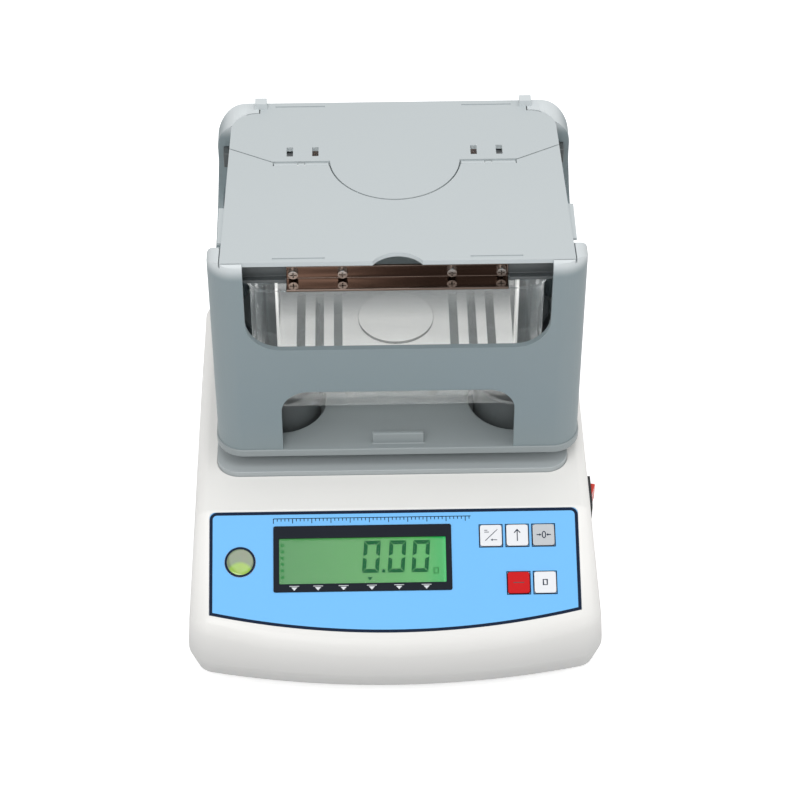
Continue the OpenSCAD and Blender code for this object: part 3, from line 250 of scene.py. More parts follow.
flatInk = {"Specular IOR Level": 0.12}
inkBump, keyBump = (0.05, 0.00002), (0.1, 0.00003)
# painted shade: the white housing turns darker towards its bottom
whitePlastic = plastic("whitePlastic", (238, 237, 234), shade=0.97, smooth=0.34, rough=0.46,
                       low=((188, 188, 187), 0.006, 0.062))
# painted light and shade: the shell's top rounding is light, its walls below are a darker painted shade
shellPlastic = plastic("shellPlastic", (206, 212, 214), shade=0.97, smooth=0.38, rough=0.5,
                       low=((128, 141, 145), 0.206, 0.2155))
lidPlastic = plastic("lidPlastic", (188, 195, 197), shade=0.97, smooth=0.4, rough=0.52)
plateGrey = plastic("plateGrey", (142, 150, 152), shade=0.96, smooth=0.38, rough=0.5)
deckPlastic = plastic("deckPlastic", (170, 177, 179), shade=0.96, smooth=0.38, rough=0.5)
darkPlastic = plastic("darkPlastic", (88, 93, 94), shade=0.85, smooth=0.3, rough=0.42)
blackPlastic = plastic("blackPlastic", (18, 20, 24), shade=0.8, smooth=0.2, rough=0.34)
bezelPrint = plastic("bezelPrint", (12, 20, 32), shade=0.8, smooth=0.4, rough=0.5, bump=inkBump,
                     **flatInk)
bluePrint = plastic("bluePrint", (98, 180, 240), shade=0.985, smooth=0.3, rough=0.4,
                    bump=(0.12, 0.00002))
inkPrint = plastic("inkPrint", (8, 28, 54), shade=0.9, smooth=0.45, rough=0.6, **flatInk)
paleInk = plastic("paleInk", (212, 216, 220), shade=0.95, smooth=0.35, rough=0.45)
keyWhite = plastic("keyWhite", (222, 224, 228), shade=0.97, smooth=0.12, rough=0.2, bump=keyBump)
keySilver = plastic("keySilver", (182, 186, 190), shade=0.9, smooth=0.14, rough=0.24, bump=keyBump)
keyRed = plastic("keyRed", (206, 10, 18), shade=0.85, smooth=0.3, rough=0.4, bump=keyBump, **flatInk)
rockerRed = plastic("rockerRed", (214, 46, 24), shade=0.9, smooth=0.16, rough=0.26)
boardGreen = plastic("boardGreen", (28, 96, 58), shade=0.75, smooth=0.3, rough=0.45)
ribbonGrey = plastic("ribbonGrey", (176, 178, 182), shade=0.9, smooth=0.4, rough=0.55)
footRubber = plastic("footRubber", (30, 30, 32), shade=0.8, smooth=0.6, rough=0.8, grain=1500.0)
wheelPlastic = plastic("wheelPlastic", (206, 206, 202), shade=0.95)
levelGreen = plastic("levelGreen", (196, 226, 66), shade=0.9, smooth=0.04, rough=0.1,
                     bump=(0.02, 0.00002))
screenInk = plastic("screenInk", (14, 74, 40), shade=0.9, smooth=0.4, rough=0.5, **flatInk)
giveGlow(screenInk, (30, 104, 60), 0.35)
screenFaint = plastic("screenFaint", (30, 92, 48), shade=0.9, smooth=0.4, rough=0.5, **flatInk)
giveGlow(screenFaint, (60, 132, 70), 0.6)
# painted shade: the tray turns darker towards the back; it also glows as painted light
polishedSteel = metal("polishedSteel", (252, 251, 248), shade=0.93, smooth=0.16, rough=0.3, streak=26.0,
                      far=((112, 114, 116), 0.040, 0.068), **{"Metallic": 0.2, "Emission Strength": 0.4})
paintedReflectionGlow(polishedSteel)
shadowSteel = metal("shadowSteel", (58, 58, 60), shade=0.8, smooth=0.1, rough=0.2, streak=30.0)
# painted reflection: dark and copper streaks stand in for what the polished bars mirror
barSteel = metal("barSteel", (128, 112, 103), shade=0.3, smooth=0.06, rough=0.16, streak=22.0)
screwSteel = metal("screwSteel", (200, 200, 198), shade=0.85, smooth=0.18, rough=0.32, streak=300.0)
castAlloy = metal("castAlloy", (186, 188, 192), shade=0.88, smooth=0.3, rough=0.45, streak=90.0)
insertBrass = metal("insertBrass", (206, 170, 96), shade=0.85, smooth=0.2, rough=0.35, streak=200.0)
portMetal = metal("portMetal", (196, 198, 202), shade=0.88, smooth=0.2, rough=0.34, streak=160.0)

clearLook = {"paintedGlow": (220, 226, 226), "ior": 1.45, "blend": 0.3, "edgeOn": 0.95}


def makeClear(name, colour, smooth, rough, strength, faceOn, paintedGlow):
    material = plastic(name, colour, shade=0.98, smooth=smooth, rough=rough, grain=120.0,
                       bump=(strength, 0.0003))
    tree, shader = material.node_tree, shaderOf(material)
    # painted light: the clear plastic glows faintly in a pale tone
    giveGlow(material, clearLook["paintedGlow"], paintedGlow)
    shader.inputs["Transmission Weight"].default_value = 1.0
    shader.inputs["IOR"].default_value = clearLook["ior"]
    rim = tree.nodes.new("ShaderNodeLayerWeight")  # clearer face on than edge on
    rim.inputs["Blend"].default_value = clearLook["blend"]
    spread = tree.nodes.new("ShaderNodeMapRange")
    spread.inputs["To Min"].default_value = faceOn
    spread.inputs["To Max"].default_value = clearLook["edgeOn"]
    tree.links.new(rim.outputs["Facing"], spread.inputs["Value"])
    tree.links.new(spread.outputs["Result"], shader.inputs["Alpha"])
    return material


# painted light: the tank glows faintly
tankClear = makeClear("tankClear", (240, 243, 243), 0.02, 0.06, 0.06, 0.1, 0.1)
lensClear = makeClear("lensClear", (236, 242, 238), 0.01, 0.03, 0.0, 0.04, 0.0)

screenLight = {"strength": 0.62, "base": (24, 56, 30), "rough": 0.3,
               "stops": [(0.0, (76, 160, 84)), (0.55, (90, 180, 92)), (0.85, (82, 194, 92)),
                         (0.97, (20, 196, 90)), (1.0, (70, 235, 130))]}


def makeScreenGlow():  # lit display, brighter towards its right end
    material, tree, shader = newMaterial("screenGlow")
    low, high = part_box("lcd_glass")
    axes = addAxes(tree)[1]
    spread = tree.nodes.new("ShaderNodeMapRange")
    spread.inputs["From Min"].default_value = low.x
    spread.inputs["From Max"].default_value = high.x
    ramp = tree.nodes.new("ShaderNodeValToRGB")
    elements = ramp.color_ramp.elements
    while len(elements) < len(screenLight["stops"]):
        elements.new(0.5)
    for element, (position, colour) in zip(elements, screenLight["stops"]):
        element.position = position
        element.color = tone(*colour)
    tree.links.new(axes["X"], spread.inputs["Value"])
    tree.links.new(spread.outputs["Result"], ramp.inputs["Fac"])
    tree.links.new(ramp.outputs["Color"], shader.inputs["Emission Color"])
    shader.inputs["Emission Strength"].default_value = screenLight["strength"]
    shader.inputs["Base Color"].default_value = tone(*screenLight["base"])
    shader.inputs["Roughness"].default_value = screenLight["rough"]
    return material


materialOfSlot = {
    "white_housing": whitePlastic, "screw_steel": screwSteel, "insert_brass": insertBrass,
    "cast_alloy": castAlloy, "circuit_board": boardGreen, "grey_housing": shellPlastic,
    "dark_plastic": darkPlastic, "clear_plastic": tankClear, "blue_panel": bluePrint,
    "black_plastic": blackPlastic, "lcd_green": makeScreenGlow(), "light_guide": ribbonGrey,
    "ribbon": ribbonGrey, "white_key": keyWhite, "silver_key": keySilver, "red_key": keyRed,
    "level_liquid": levelGreen, "port_metal": portMetal, "foot_rubber": footRubber,
    "foot_wheel": wheelPlastic, "polished_steel": polishedSteel}
for name, obj in nodes.items():
    obj.data.materials.clear()
    obj.data.materials.append(materialOfSlot[slotOfNode[name]])
nodes["display_window"].data.materials[0] = lensClear
print("materials made")


# pieces
def addPiece(name, mesh, body, material, slotName, node=None):
    piece = bpy.data.objects.new(name, mesh)
    scene.collection.objects.link(piece)
    mesh.materials.clear()
    mesh.materials.append(material)
    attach(piece, body)
    if node:
        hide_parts(node)
    return piece


def meshFrom(name, build):
    mesh = bpy.data.meshes.new(name)
    bm = bmesh.new()
    build(bm)
    bmesh.ops.remove_doubles(bm, verts=bm.verts, dist=1e-7)
    bmesh.ops.recalc_face_normals(bm, faces=bm.faces)
    bm.to_mesh(mesh)
    bm.free()
    return mesh


def smoothShade(mesh):
    for face in mesh.polygons:
        face.use_smooth = True


edgeLook = {"merge": 1e-6, "flatDegrees": 0.6, "shortest": 0.0006, "sharpDegrees": 33,
            "smoothDegrees": 30, "weight": 80}


def dressNode(node, name, material, edge, steps=2):  # a merged copy of a CAD node, its sharp edges rounded
    mesh = nodes[node].data.copy()
    mesh.name = name
    bm = bmesh.new()
    bm.from_mesh(mesh)
    bmesh.ops.remove_doubles(bm, verts=bm.verts, dist=edgeLook["merge"])
    bmesh.ops.dissolve_limit(bm, angle_limit=math.radians(edgeLook["flatDegrees"]), verts=bm.verts,
                             edges=bm.edges)
    weight = bm.edges.layers.float.new("bevel_weight_edge")
    for line in bm.edges:
        line.smooth = True
        if line.is_manifold and line.calc_length() > edgeLook["shortest"]:
            if line.calc_face_angle(0) > math.radians(edgeLook["sharpDegrees"]):
                line[weight] = 1.0
    bm.to_mesh(mesh)
    bm.free()
    smoothShade(mesh)
    mesh.set_sharp_from_angle(angle=math.radians(edgeLook["smoothDegrees"]))
    piece = addPiece(name, mesh, bodyOfNode[node], material, slotOfNode[node], node)
    bevel = piece.modifiers.new("edge", "BEVEL")
    bevel.limit_method = "WEIGHT"
    bevel.width = edge
    bevel.segments = steps
    bevel.use_clamp_overlap = True
    bevel.harden_normals = False
    even = piece.modifiers.new("even", "WEIGHTED_NORMAL")
    even.keep_sharp = True
    even.weight = edgeLook["weight"]


dressed = {  # node: piece name, material, edge radius in metres
    "top_cover": ("topCover", whitePlastic, 0.0003),
    "bottom_tray": ("bottomTray", whitePlastic, 0.0005),
    "deck_plate": ("deckPlate", deckPlastic, 0.0005),
    "floor_plate": ("floorPlate", plateGrey, 0.0007),
    "box_shell": ("boxShell", shellPlastic, 0.0006),
    "front_lid": ("frontLid", lidPlastic, 0.0004),
    "rear_lid": ("rearLid", lidPlastic, 0.0003),
    "water_tank": ("waterTank", tankClear, 0.0006),
    "basket": ("basketSheet", polishedSteel, 0.0003),
    "hanger_bars": ("hangerBars", barSteel, 0.0003),
    "hanger_brackets": ("hangerBrackets", darkPlastic, 0.0004),
    "tank_pillars": ("tankPillars", darkPlastic, 0.0006),
    "pan_carrier": ("panCarrier", castAlloy, 0.0005),
    "display_bezel": ("displayBezel", bezelPrint, 0.0003),
    "front_panel": ("frontPanel", bluePrint, 0.0001),
    "switch_housing": ("switchHousing", blackPlastic, 0.0003),
    "rocker": ("rockerCap", rockerRed, 0.0006),
    "serial_port": ("serialPort", portMetal, 0.0002),
    "dc_jack": ("supplyJack", blackPlastic, 0.0002),
    "level_cup": ("levelCup", keyWhite, 0.0001)}
for node, (name, material, edge) in dressed.items():
    dressNode(node, name, material, edge)
keyLook = {"key_1": keyWhite, "key_2": keyWhite, "key_3": keySilver, "key_4": keyRed, "key_5": keyWhite}
for node, material in keyLook.items():
    dressNode(node, node.replace("_", "Cap"), material, 0.0006, steps=3)
print("CAD pieces dressed")


# screws and bolts, one geometry node tree for all of them
screwLook = {"Sides": 28, "Draft": 0.12, "Recess Width": 0.2, "Recess Length": 1.25, "Recess Depth": 0.5}
screwNodes = {"hanger_screws": "hangerScrews", "case_screws": "caseScrews", "deck_screws": "deckScrews",
              "chassis_screws": "chassisScrews", "main_board_screws": "mainBoardScrews",
              "display_board_screws": "displayBoardScrews", "floor_screws": "floorScrews",
              "shell_screws": "shellScrews", "cell_bolts": "cellBolts", "carrier_bolts": "carrierBolts"}


def makeScrewTree():  # a cross-recess head and its shank on each point
    tree = bpy.data.node_groups.new("screwSet", "GeometryNodeTree")
    tree.interface.new_socket("Geometry", in_out="INPUT", socket_type="NodeSocketGeometry")
    tree.interface.new_socket("Sides", in_out="INPUT", socket_type="NodeSocketInt")
    for name in ("Draft", "Recess Width", "Recess Length", "Recess Depth"):
        tree.interface.new_socket(name, in_out="INPUT", socket_type="NodeSocketFloat")
    tree.interface.new_socket("Material", in_out="INPUT", socket_type="NodeSocketMaterial")
    tree.interface.new_socket("Geometry", in_out="OUTPUT", socket_type="NodeSocketGeometry")
    link, new = tree.links.new, tree.nodes.new
    given, out = new("NodeGroupInput").outputs, new("NodeGroupOutput")

    def feed(node, values):  # numbers are set and sockets linked
        for socket, value in zip(node.inputs, values):
            if isinstance(value, (int, float)):
                socket.default_value = value
            else:
                link(value, socket)
        return node.outputs[0]

    def arithmetic(kind, a, b):
        node = new("ShaderNodeMath")
        node.operation = kind
        return feed(node, (a, b))

    def xyz(x, y, z):
        return feed(new("ShaderNodeCombineXYZ"), (x, y, z))

    def moved(geometry, offset):
        node = new("GeometryNodeTransform")
        link(geometry, node.inputs["Geometry"])
        link(offset, node.inputs["Translation"])
        return node.outputs["Geometry"]

    def block(size):
        node = new("GeometryNodeMeshCube")
        link(size, node.inputs["Size"])
        return node.outputs["Mesh"]

    def rod():  # radius 1, length 1
        node = new("GeometryNodeMeshCylinder")
        link(given["Sides"], node.inputs["Vertices"])
        node.inputs["Radius"].default_value = 1.0
        node.inputs["Depth"].default_value = 1.0
        return node.outputs["Mesh"]

    def attribute(name):
        node = new("GeometryNodeInputNamedAttribute")
        node.data_type = "FLOAT_VECTOR"
        node.inputs["Name"].default_value = name
        return node.outputs["Attribute"]

    spot = new("GeometryNodeInputPosition").outputs[0]
    height = new("ShaderNodeSeparateXYZ")
    link(spot, height.inputs[0])
    upper = arithmetic("GREATER_THAN", height.outputs["Z"], 0.0)
    shrink = arithmetic("SUBTRACT", 1.0, arithmetic("MULTIPLY", given["Draft"], upper))
    scaled = new("ShaderNodeVectorMath")
    scaled.operation = "MULTIPLY"
    link(spot, scaled.inputs[0])
    link(xyz(shrink, shrink, 1.0), scaled.inputs[1])
    taper = new("GeometryNodeSetPosition")
    link(rod(), taper.inputs["Geometry"])
    link(scaled.outputs[0], taper.inputs["Position"])
    cut = new("GeometryNodeMeshBoolean")
    cut.operation = "DIFFERENCE"
    link(moved(taper.outputs["Geometry"], xyz(0.0, 0.0, 0.5)), cut.inputs["Mesh 1"])
    width, length = given["Recess Width"], given["Recess Length"]
    deep = arithmetic("MULTIPLY", given["Recess Depth"], 2.0)
    for size in (xyz(length, width, deep), xyz(width, length, deep)):
        link(moved(block(size), xyz(0.0, 0.0, 1.0)), cut.inputs["Mesh 2"])
    shank = moved(rod(), xyz(0.0, 0.0, -0.5))
    turn = new("FunctionNodeAlignRotationToVector")
    turn.axis = "Z"
    link(attribute("axis"), turn.inputs["Vector"])
    both = new("GeometryNodeJoinGeometry")
    for shape, size in ((cut.outputs["Mesh"], "headSize"), (shank, "shankSize")):
        spread = new("GeometryNodeInstanceOnPoints")
        link(given["Geometry"], spread.inputs["Points"])
        link(shape, spread.inputs["Instance"])
        link(turn.outputs["Rotation"], spread.inputs["Rotation"])
        link(attribute(size), spread.inputs["Scale"])
        link(spread.outputs["Instances"], both.inputs[0])
    real = new("GeometryNodeRealizeInstances")
    link(both.outputs[0], real.inputs["Geometry"])
    paint = new("GeometryNodeSetMaterial")
    link(real.outputs["Geometry"], paint.inputs["Geometry"])
    link(given["Material"], paint.inputs["Material"])
    link(paint.outputs["Geometry"], out.inputs["Geometry"])
    return tree


seatRules = {"fewestPoints": 24, "fewestOnRing": 8, "level": 1e-5, "headOverShank": 1.1, "offAxis": 1e-4,
             "rim": 0.98}
screwAxes = [axis * sign for axis in (Vector((0, 0, 1)), Vector((0, 1, 0)), Vector((1, 0, 0)), slopeOut)
             for sign in (1, -1)]


def islandsOf(bm):  # the points of each separate shell
    seen = set()
    for first in bm.verts:
        if first in seen:
            continue
        seen.add(first)
        waiting, island = [first], []
        while waiting:
            v = waiting.pop()
            island.append(v.co.copy())
            for line in v.link_edges:
                w = line.other_vert(v)
                if w not in seen:
                    seen.add(w)
                    waiting.append(w)
        yield island


def readSeat(island):  # where one screw's head sits, its direction, and head and shank sizes
    best, rules = None, seatRules
    for axis in screwAxes:
        along = [c.dot(axis) for c in island]
        low, high = min(along), max(along)
        ring = [c for c, a in zip(island, along) if a > high - rules["level"]]
        foot = [c for c, a in zip(island, along) if a < low + rules["level"]]
        if min(len(ring), len(foot)) < rules["fewestOnRing"]:
            continue
        centre, base = sum(ring, Vector()) / len(ring), sum(foot, Vector()) / len(foot)
        headR = max((c - centre).length for c in ring)
        shankR = max((c - base).length for c in foot)
        if headR <= shankR * rules["headOverShank"]:
            continue
        if (centre - base).cross(axis).length < rules["offAxis"]:
            under = min(a for c, a in zip(island, along)
                        if (c - centre - axis * (a - high)).length > headR * rules["rim"])
            best = (centre - axis * (high - under), axis, headR, high - under, shankR, under - low)
    return best


def screwSeats(node):
    bm = bmesh.new()
    bm.from_mesh(nodes[node].data)
    bmesh.ops.remove_doubles(bm, verts=bm.verts, dist=1e-7)
    found = [readSeat(island) for island in islandsOf(bm) if len(island) >= seatRules["fewestPoints"]]
    bm.free()
    return [seat for seat in found if seat]


def screwPiece(node, name, tree, material):
    seats = screwSeats(node)
    mesh = bpy.data.meshes.new(name + "Points")
    mesh.from_pydata([tuple(seat[0]) for seat in seats], [], [])
    rows = {"axis": [seat[1] for seat in seats],
            "headSize": [(seat[2], seat[2], seat[3]) for seat in seats],
            "shankSize": [(seat[4], seat[4], seat[5]) for seat in seats]}
    for row, values in rows.items():
        data = mesh.attributes.new(row, "FLOAT_VECTOR", "POINT").data
        for item, value in zip(data, values):
            item.vector = value
    holder = bpy.data.objects.new(name + "Points", mesh)
    scene.collection.objects.link(holder)
    modifier = holder.modifiers.new("screws", "NODES")
    modifier.node_group = tree
    sockets = {item.name: item.identifier for item in tree.interface.items_tree if item.in_out == "INPUT"}
    for key, value in screwLook.items():
        modifier[sockets[key]] = value
    modifier[sockets["Material"]] = material
    bpy.context.view_layer.update()
    made = bpy.data.meshes.new_from_object(holder.evaluated_get(bpy.context.evaluated_depsgraph_get()))
    made.name = name
    bpy.data.objects.remove(holder)
    smoothShade(made)
    made.set_sharp_from_angle(angle=math.radians(edgeLook["smoothDegrees"]))
    addPiece(name, made, bodyOfNode[node], material, slotOfNode[node], node)
    return len(seats)


screwTree = makeScrewTree()
for node, name in screwNodes.items():
    print(name, screwPiece(node, name, screwTree, screwSteel))
print("screws made")


# rings of points
def circle(count, radius):
    return [(radius * math.cos(2 * math.pi * i / count), radius * math.sin(2 * math.pi * i / count))
            for i in range(count)]


def flatRow(bm, centre, radius, z, count):
    return [bm.verts.new((centre.x + x, centre.y + y, z)) for x, y in circle(count, radius)]


def joinRows(bm, a, b):
    for i in range(len(a)):
        j = (i + 1) % len(a)
        bm.faces.new((a[i], a[j], b[j], b[i]))


# painted reflection and shadow: a dark band on the side of the round boss in the tray
boss = {"radius": 0.02003, "thick": 0.00012, "low": 0.0013, "high": 0.0029, "count": 96}


def buildBossShadeBand(bm):
    low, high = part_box("basket")
    inLow, inHigh, outLow, outHigh = (
        flatRow(bm, (low + high) / 2, radius, low.z + z, boss["count"])
        for radius in (boss["radius"], boss["radius"] + boss["thick"]) for z in (boss["low"], boss["high"]))
    for a, b in ((outLow, outHigh), (inHigh, inLow), (outHigh, inHigh), (inLow, outLow)):
        joinRows(bm, a, b)


addPiece("bossShadeBand", meshFrom("bossShadeBand", buildBossShadeBand), "weighing_frame", shadowSteel, "polished_steel")

# thin prints on the panel, display and keys
printLift = {"panel": 0.00002, "screen": -0.00175, "bezel": 0.00051, "key": 0.00091}
printDepth = {"usual": 0.00005, "thin": 0.00003, "screen": 0.00002}


def ribbonStrip(bm, points, width, place, closed=False):  # flat strip along points (x, s)
    count = len(points)
    rows = []
    for i, (x, s) in enumerate(points):
        before = points[(i - 1) % count] if closed or i else points[i]
        after = points[(i + 1) % count] if closed or i < count - 1 else points[i]
        dx, ds = after[0] - before[0], after[1] - before[1]
        size = math.hypot(dx, ds) or 1
        nx, ns = -ds / size * width / 2, dx / size * width / 2
        if closed or 0 < i < count - 1:  # keep the width at bends
            bx, bs = x - before[0], s - before[1]
            run = math.hypot(bx, bs) or 1
            cosHalf = max(abs(bs * ds + bx * dx) / run / size, 0.5)
            nx, ns = nx / cosHalf, ns / cosHalf
        rows.append((place(x + nx, s + ns), place(x - nx, s - ns)))
    made = [(bm.verts.new(a), bm.verts.new(b)) for a, b in rows]
    for i in range(count if closed else count - 1):
        a, b = made[i], made[(i + 1) % count]
        bm.faces.new((a[0], b[0], b[1], a[1]))


def addPolygon(bm, points, place):
    bm.faces.new([bm.verts.new(place(x, s)) for x, s in points])


def rectangle(left, high, right, low):
    return [(left, high), (right, high), (right, low), (left, low)]


def thicken(bm, depth, direction):
    grown = bmesh.ops.extrude_face_region(bm, geom=list(bm.faces))
    moved = [v for v in grown["geom"] if isinstance(v, bmesh.types.BMVert)]
    bmesh.ops.translate(bm, verts=moved, vec=direction * depth)


def printPiece(name, drawing, lift, material, slotName, body="base", depth="usual"):
    def build(bm):
        drawing(bm, lambda x, s: onSlope(x, s, lift))
        thicken(bm, printDepth[depth], slopeOut)
    addPiece(name, meshFrom(name, build), body, material, slotName)


panelPrint = {"width": 0.192, "side": 0.0546, "bow": 0.01042, "top": 0.0006, "corner": 0.003,
              "line": 0.0016, "inset": 0.0008, "foot": 0.0005, "cornerSteps": 6, "bowSteps": 40}


def panelOutline():  # rounded upper corners, straight sides, bowed lower edge
    p = panelPrint
    half = p["width"] / 2 - p["inset"]
    high, low = p["top"] + p["inset"], p["top"] + p["side"] - p["foot"]
    r, step = p["corner"], 2 * half / p["bowSteps"]
    turns = [math.radians(90 * i / p["cornerSteps"]) for i in range(p["cornerSteps"] + 1)]
    points = [(half - r + r * math.sin(a), high + r - r * math.cos(a)) for a in turns]
    points.append((half, low - step))
    radius = (half * half + p["bow"] ** 2) / (2 * p["bow"])
    for i in range(p["bowSteps"] + 1):
        x = half - i * step
        points.append((x, low + p["bow"] - radius + math.sqrt(radius * radius - x * x)))
    points.append((-half, low - step))
    points += [(-half + r - r * math.cos(a), high + r - r * math.sin(a)) for a in turns]
    return points


def drawOutline(bm, place):
    ribbonStrip(bm, panelOutline(), panelPrint["line"], place, closed=True)


printPiece("panelBorder", drawOutline, printLift["panel"], inkPrint, "blue_panel")

# round level: printed ring, target ring in the cup, and a low lens over both
level = {"x": -0.0801, "s": 0.0274, "ring": 0.00745, "line": 0.0012, "ringLift": 0.00031, "sides": 64}


def drawLevelRing(bm, place):
    ring = [(level["x"] + x, level["s"] + s) for x, s in circle(level["sides"], level["ring"])]
    ribbonStrip(bm, ring, level["line"], place, closed=True)


printPiece("levelRing", drawLevelRing, level["ringLift"], inkPrint, "blue_panel")

target = {"down": 0.007, "lift": 0.0024, "radius": 0.0021, "line": 0.00025, "clear": 0.00002,
          "thick": 0.00003, "sides": 48}


def buildTarget(bm):
    centre = onSlope(level["x"], level["s"], -target["down"])
    z = centre.z + target["lift"] + target["clear"]
    inner = flatRow(bm, centre, target["radius"], z, target["sides"])
    outer = flatRow(bm, centre, target["radius"] + target["line"], z, target["sides"])
    joinRows(bm, outer, inner)
    thicken(bm, target["thick"], Vector((0, 0, 1)))


levelLens = {"radius": 0.0070, "lift": 0.0003, "dome": 0.0005, "rows": 7, "liquid": (150, 190, 60),
             "shadedAir": (122, 138, 106), "pool": 0.0070, "poolRadius": 0.0066, "blurIn": 0.0007,
             "blurOut": 0.0009, "washScale": 160.0, "wash": 0.25, "rough": 0.12, "coat": 0.5}


def makeLevelGlow():  # upper part grey-green, painted shade on the pale cup wall, yellow-green liquid below a curved edge
    material, tree, shader = newMaterial("levelGlow")
    place = tree.nodes.new("ShaderNodeTexCoord").outputs["Object"]
    reach = tree.nodes.new("ShaderNodeVectorMath")
    reach.operation = "DISTANCE"
    reach.inputs[1].default_value = onSlope(level["x"], level["s"] + levelLens["pool"], 0)
    spread = tree.nodes.new("ShaderNodeMapRange")
    spread.inputs["From Min"].default_value = levelLens["poolRadius"] - levelLens["blurIn"]
    spread.inputs["From Max"].default_value = levelLens["poolRadius"] + levelLens["blurOut"]
    mix = tree.nodes.new("ShaderNodeMix")
    mix.data_type = "RGBA"
    mix.inputs["A"].default_value = tone(*levelLens["liquid"])
    mix.inputs["B"].default_value = tone(*levelLens["shadedAir"])
    wash = tree.nodes.new("ShaderNodeTexNoise")
    wash.inputs["Scale"].default_value = levelLens["washScale"]
    stain = tree.nodes.new("ShaderNodeMix")
    stain.data_type = "RGBA"
    stain.blend_type = "MULTIPLY"
    stain.inputs["Factor"].default_value = levelLens["wash"]
    link = tree.links.new
    link(place, reach.inputs[0])
    link(place, wash.inputs["Vector"])
    link(reach.outputs["Value"], spread.inputs["Value"])
    link(spread.outputs["Result"], mix.inputs["Factor"])
    link(mix.outputs["Result"], stain.inputs["A"])
    link(wash.outputs["Color"], stain.inputs["B"])
    link(stain.outputs["Result"], shader.inputs["Base Color"])
    shader.inputs["Roughness"].default_value = levelLens["rough"]
    shader.inputs["Coat Weight"].default_value = levelLens["coat"]
    return material


def buildLens(bm):  # low dome inside the printed ring
    rings = []
    for k in range(levelLens["rows"]):
        a = math.pi / 2 * k / levelLens["rows"]
        lift = levelLens["dome"] * math.sin(a) + levelLens["lift"]
        rings.append([bm.verts.new(onSlope(level["x"] + x, level["s"] + s, lift))
                      for x, s in circle(level["sides"], levelLens["radius"] * math.cos(a))])
    for low, high in zip(rings, rings[1:]):
        joinRows(bm, low, high)
    top = bm.verts.new(onSlope(level["x"], level["s"], levelLens["dome"] + levelLens["lift"]))
    for i, point in enumerate(rings[-1]):
        bm.faces.new((point, rings[-1][(i + 1) % level["sides"]], top))
    bm.faces.new(list(reversed(rings[0])))


addPiece("levelTarget", meshFrom("levelTarget", buildTarget), "base", inkPrint, "black_plastic")
lensMesh = meshFrom("levelLens", buildLens)
smoothShade(lensMesh)
addPiece("levelLens", lensMesh, "base", makeLevelGlow(), "level_liquid")

scalePrint = {"from": -0.0628, "to": 0.0400, "s": 0.0044, "tall": 0.0026, "short": 0.0015, "step": 0.002,
              "tallEvery": 5, "stroke": 0.0004}


def drawScale(bm, place):
    p = scalePrint
    for i in range(int(round((p["to"] - p["from"]) / p["step"])) + 1):
        x = p["from"] + i * p["step"]
        tall = p["short"] if i % p["tallEvery"] else p["tall"]
        ribbonStrip(bm, [(x, p["s"]), (x, p["s"] + tall)], p["stroke"], place)
    ribbonStrip(bm, [(p["from"], p["s"]), (p["to"], p["s"])], p["stroke"], place)


printPiece("panelScale", drawScale, printLift["panel"], inkPrint, "blue_panel")
print("panel prints made")

# display
digits = {"starts": (-0.0171, -0.0038, 0.0086), "s": 0.0165, "wide": 0.0088, "tall": 0.0172,
          "stroke": 0.0021, "lean": 0.0014, "end": 0.36, "inner": 2.4, "waist": 1.3, "split": 0.3}
readingMarks = {"dotGap": 0.0016, "dotWide": 0.0018, "dotTall": 0.0019, "arrow": 0.0042,
                "arrowHalf": 0.0014, "arrowTop": 0.0022, "arrowTip": 0.0042}


def drawZero(bm, place, x):  # six bars of a seven-bar digit
    d = digits
    w, h = d["stroke"] / d["wide"] / 2, d["stroke"] / d["tall"] / 2
    flat = [(0, 0), (1, 0), (1 - 2 * w, 2 * h), (2 * w, 2 * h)]
    side = [(0, d["end"] * h), (2 * w, d["inner"] * h), (2 * w, 0.5 - d["waist"] * h),
            (0, 0.5 - d["split"] * h)]
    for bar, flips in ((flat, ((0, 0), (0, 1))), (side, ((0, 0), (0, 1), (1, 0), (1, 1)))):
        for flipU, flipV in flips:
            turned = [(1 - u if flipU else u, 1 - v if flipV else v) for u, v in bar]
            addPolygon(bm, [(x + u * d["wide"] + (1 - v) * d["lean"], d["s"] + v * d["tall"])
                            for u, v in turned], place)


def drawReading(bm, place):
    d, m = digits, readingMarks
    for x in d["starts"]:
        drawZero(bm, place, x)
    left, low = d["starts"][0] + d["wide"] + m["dotGap"], d["s"] + d["tall"]
    addPolygon(bm, rectangle(left, low - m["dotTall"], left + m["dotWide"], low), place)
    tip, half = d["starts"][0] + m["arrow"], m["arrowHalf"]
    addPolygon(bm, [(tip - half, low + m["arrowTop"]), (tip + half, low + m["arrowTop"]),
                    (tip, low + m["arrowTip"])], place)


faint = {"left": -0.0591, "right": -0.0573, "s": 0.0175, "step": 0.0034, "tall": 0.0016, "count": 6,
         "unit": (0.0204, 0.0315, 0.0226, 0.0343), "unitLine": 0.0006}


def drawFaint(bm, place):  # column of blocks at the left, a plain square for the unit
    for i in range(faint["count"]):
        s = faint["s"] + i * faint["step"]
        addPolygon(bm, rectangle(faint["left"], s, faint["right"], s + faint["tall"]), place)
    ribbonStrip(bm, rectangle(*faint["unit"]), faint["unitLine"], place, closed=True)


printPiece("screenReading", drawReading, printLift["screen"], screenInk, "lcd_green", depth="screen")
printPiece("screenMarks", drawFaint, printLift["screen"], screenFaint, "lcd_green", depth="screen")

legend = {"s": 0.0414, "places": (-0.0521, -0.0398, -0.0266, -0.0120, 0.0021, 0.0163), "half": 0.0016,
          "tall": 0.00176, "barHalf": 0.00256, "barRise": 0.0006, "barLine": 0.0003}


def drawLegend(bm, place):
    s, half = legend["s"], legend["half"]
    for x in legend["places"]:
        addPolygon(bm, [(x - half, s), (x + half, s), (x, s + legend["tall"])], place)
        bar = [(x - legend["barHalf"], s - legend["barRise"]), (x + legend["barHalf"], s - legend["barRise"])]
        ribbonStrip(bm, bar, legend["barLine"], place)


printPiece("legendMarks", drawLegend, printLift["bezel"], paleInk, "black_plastic", depth="thin")
print("display made")
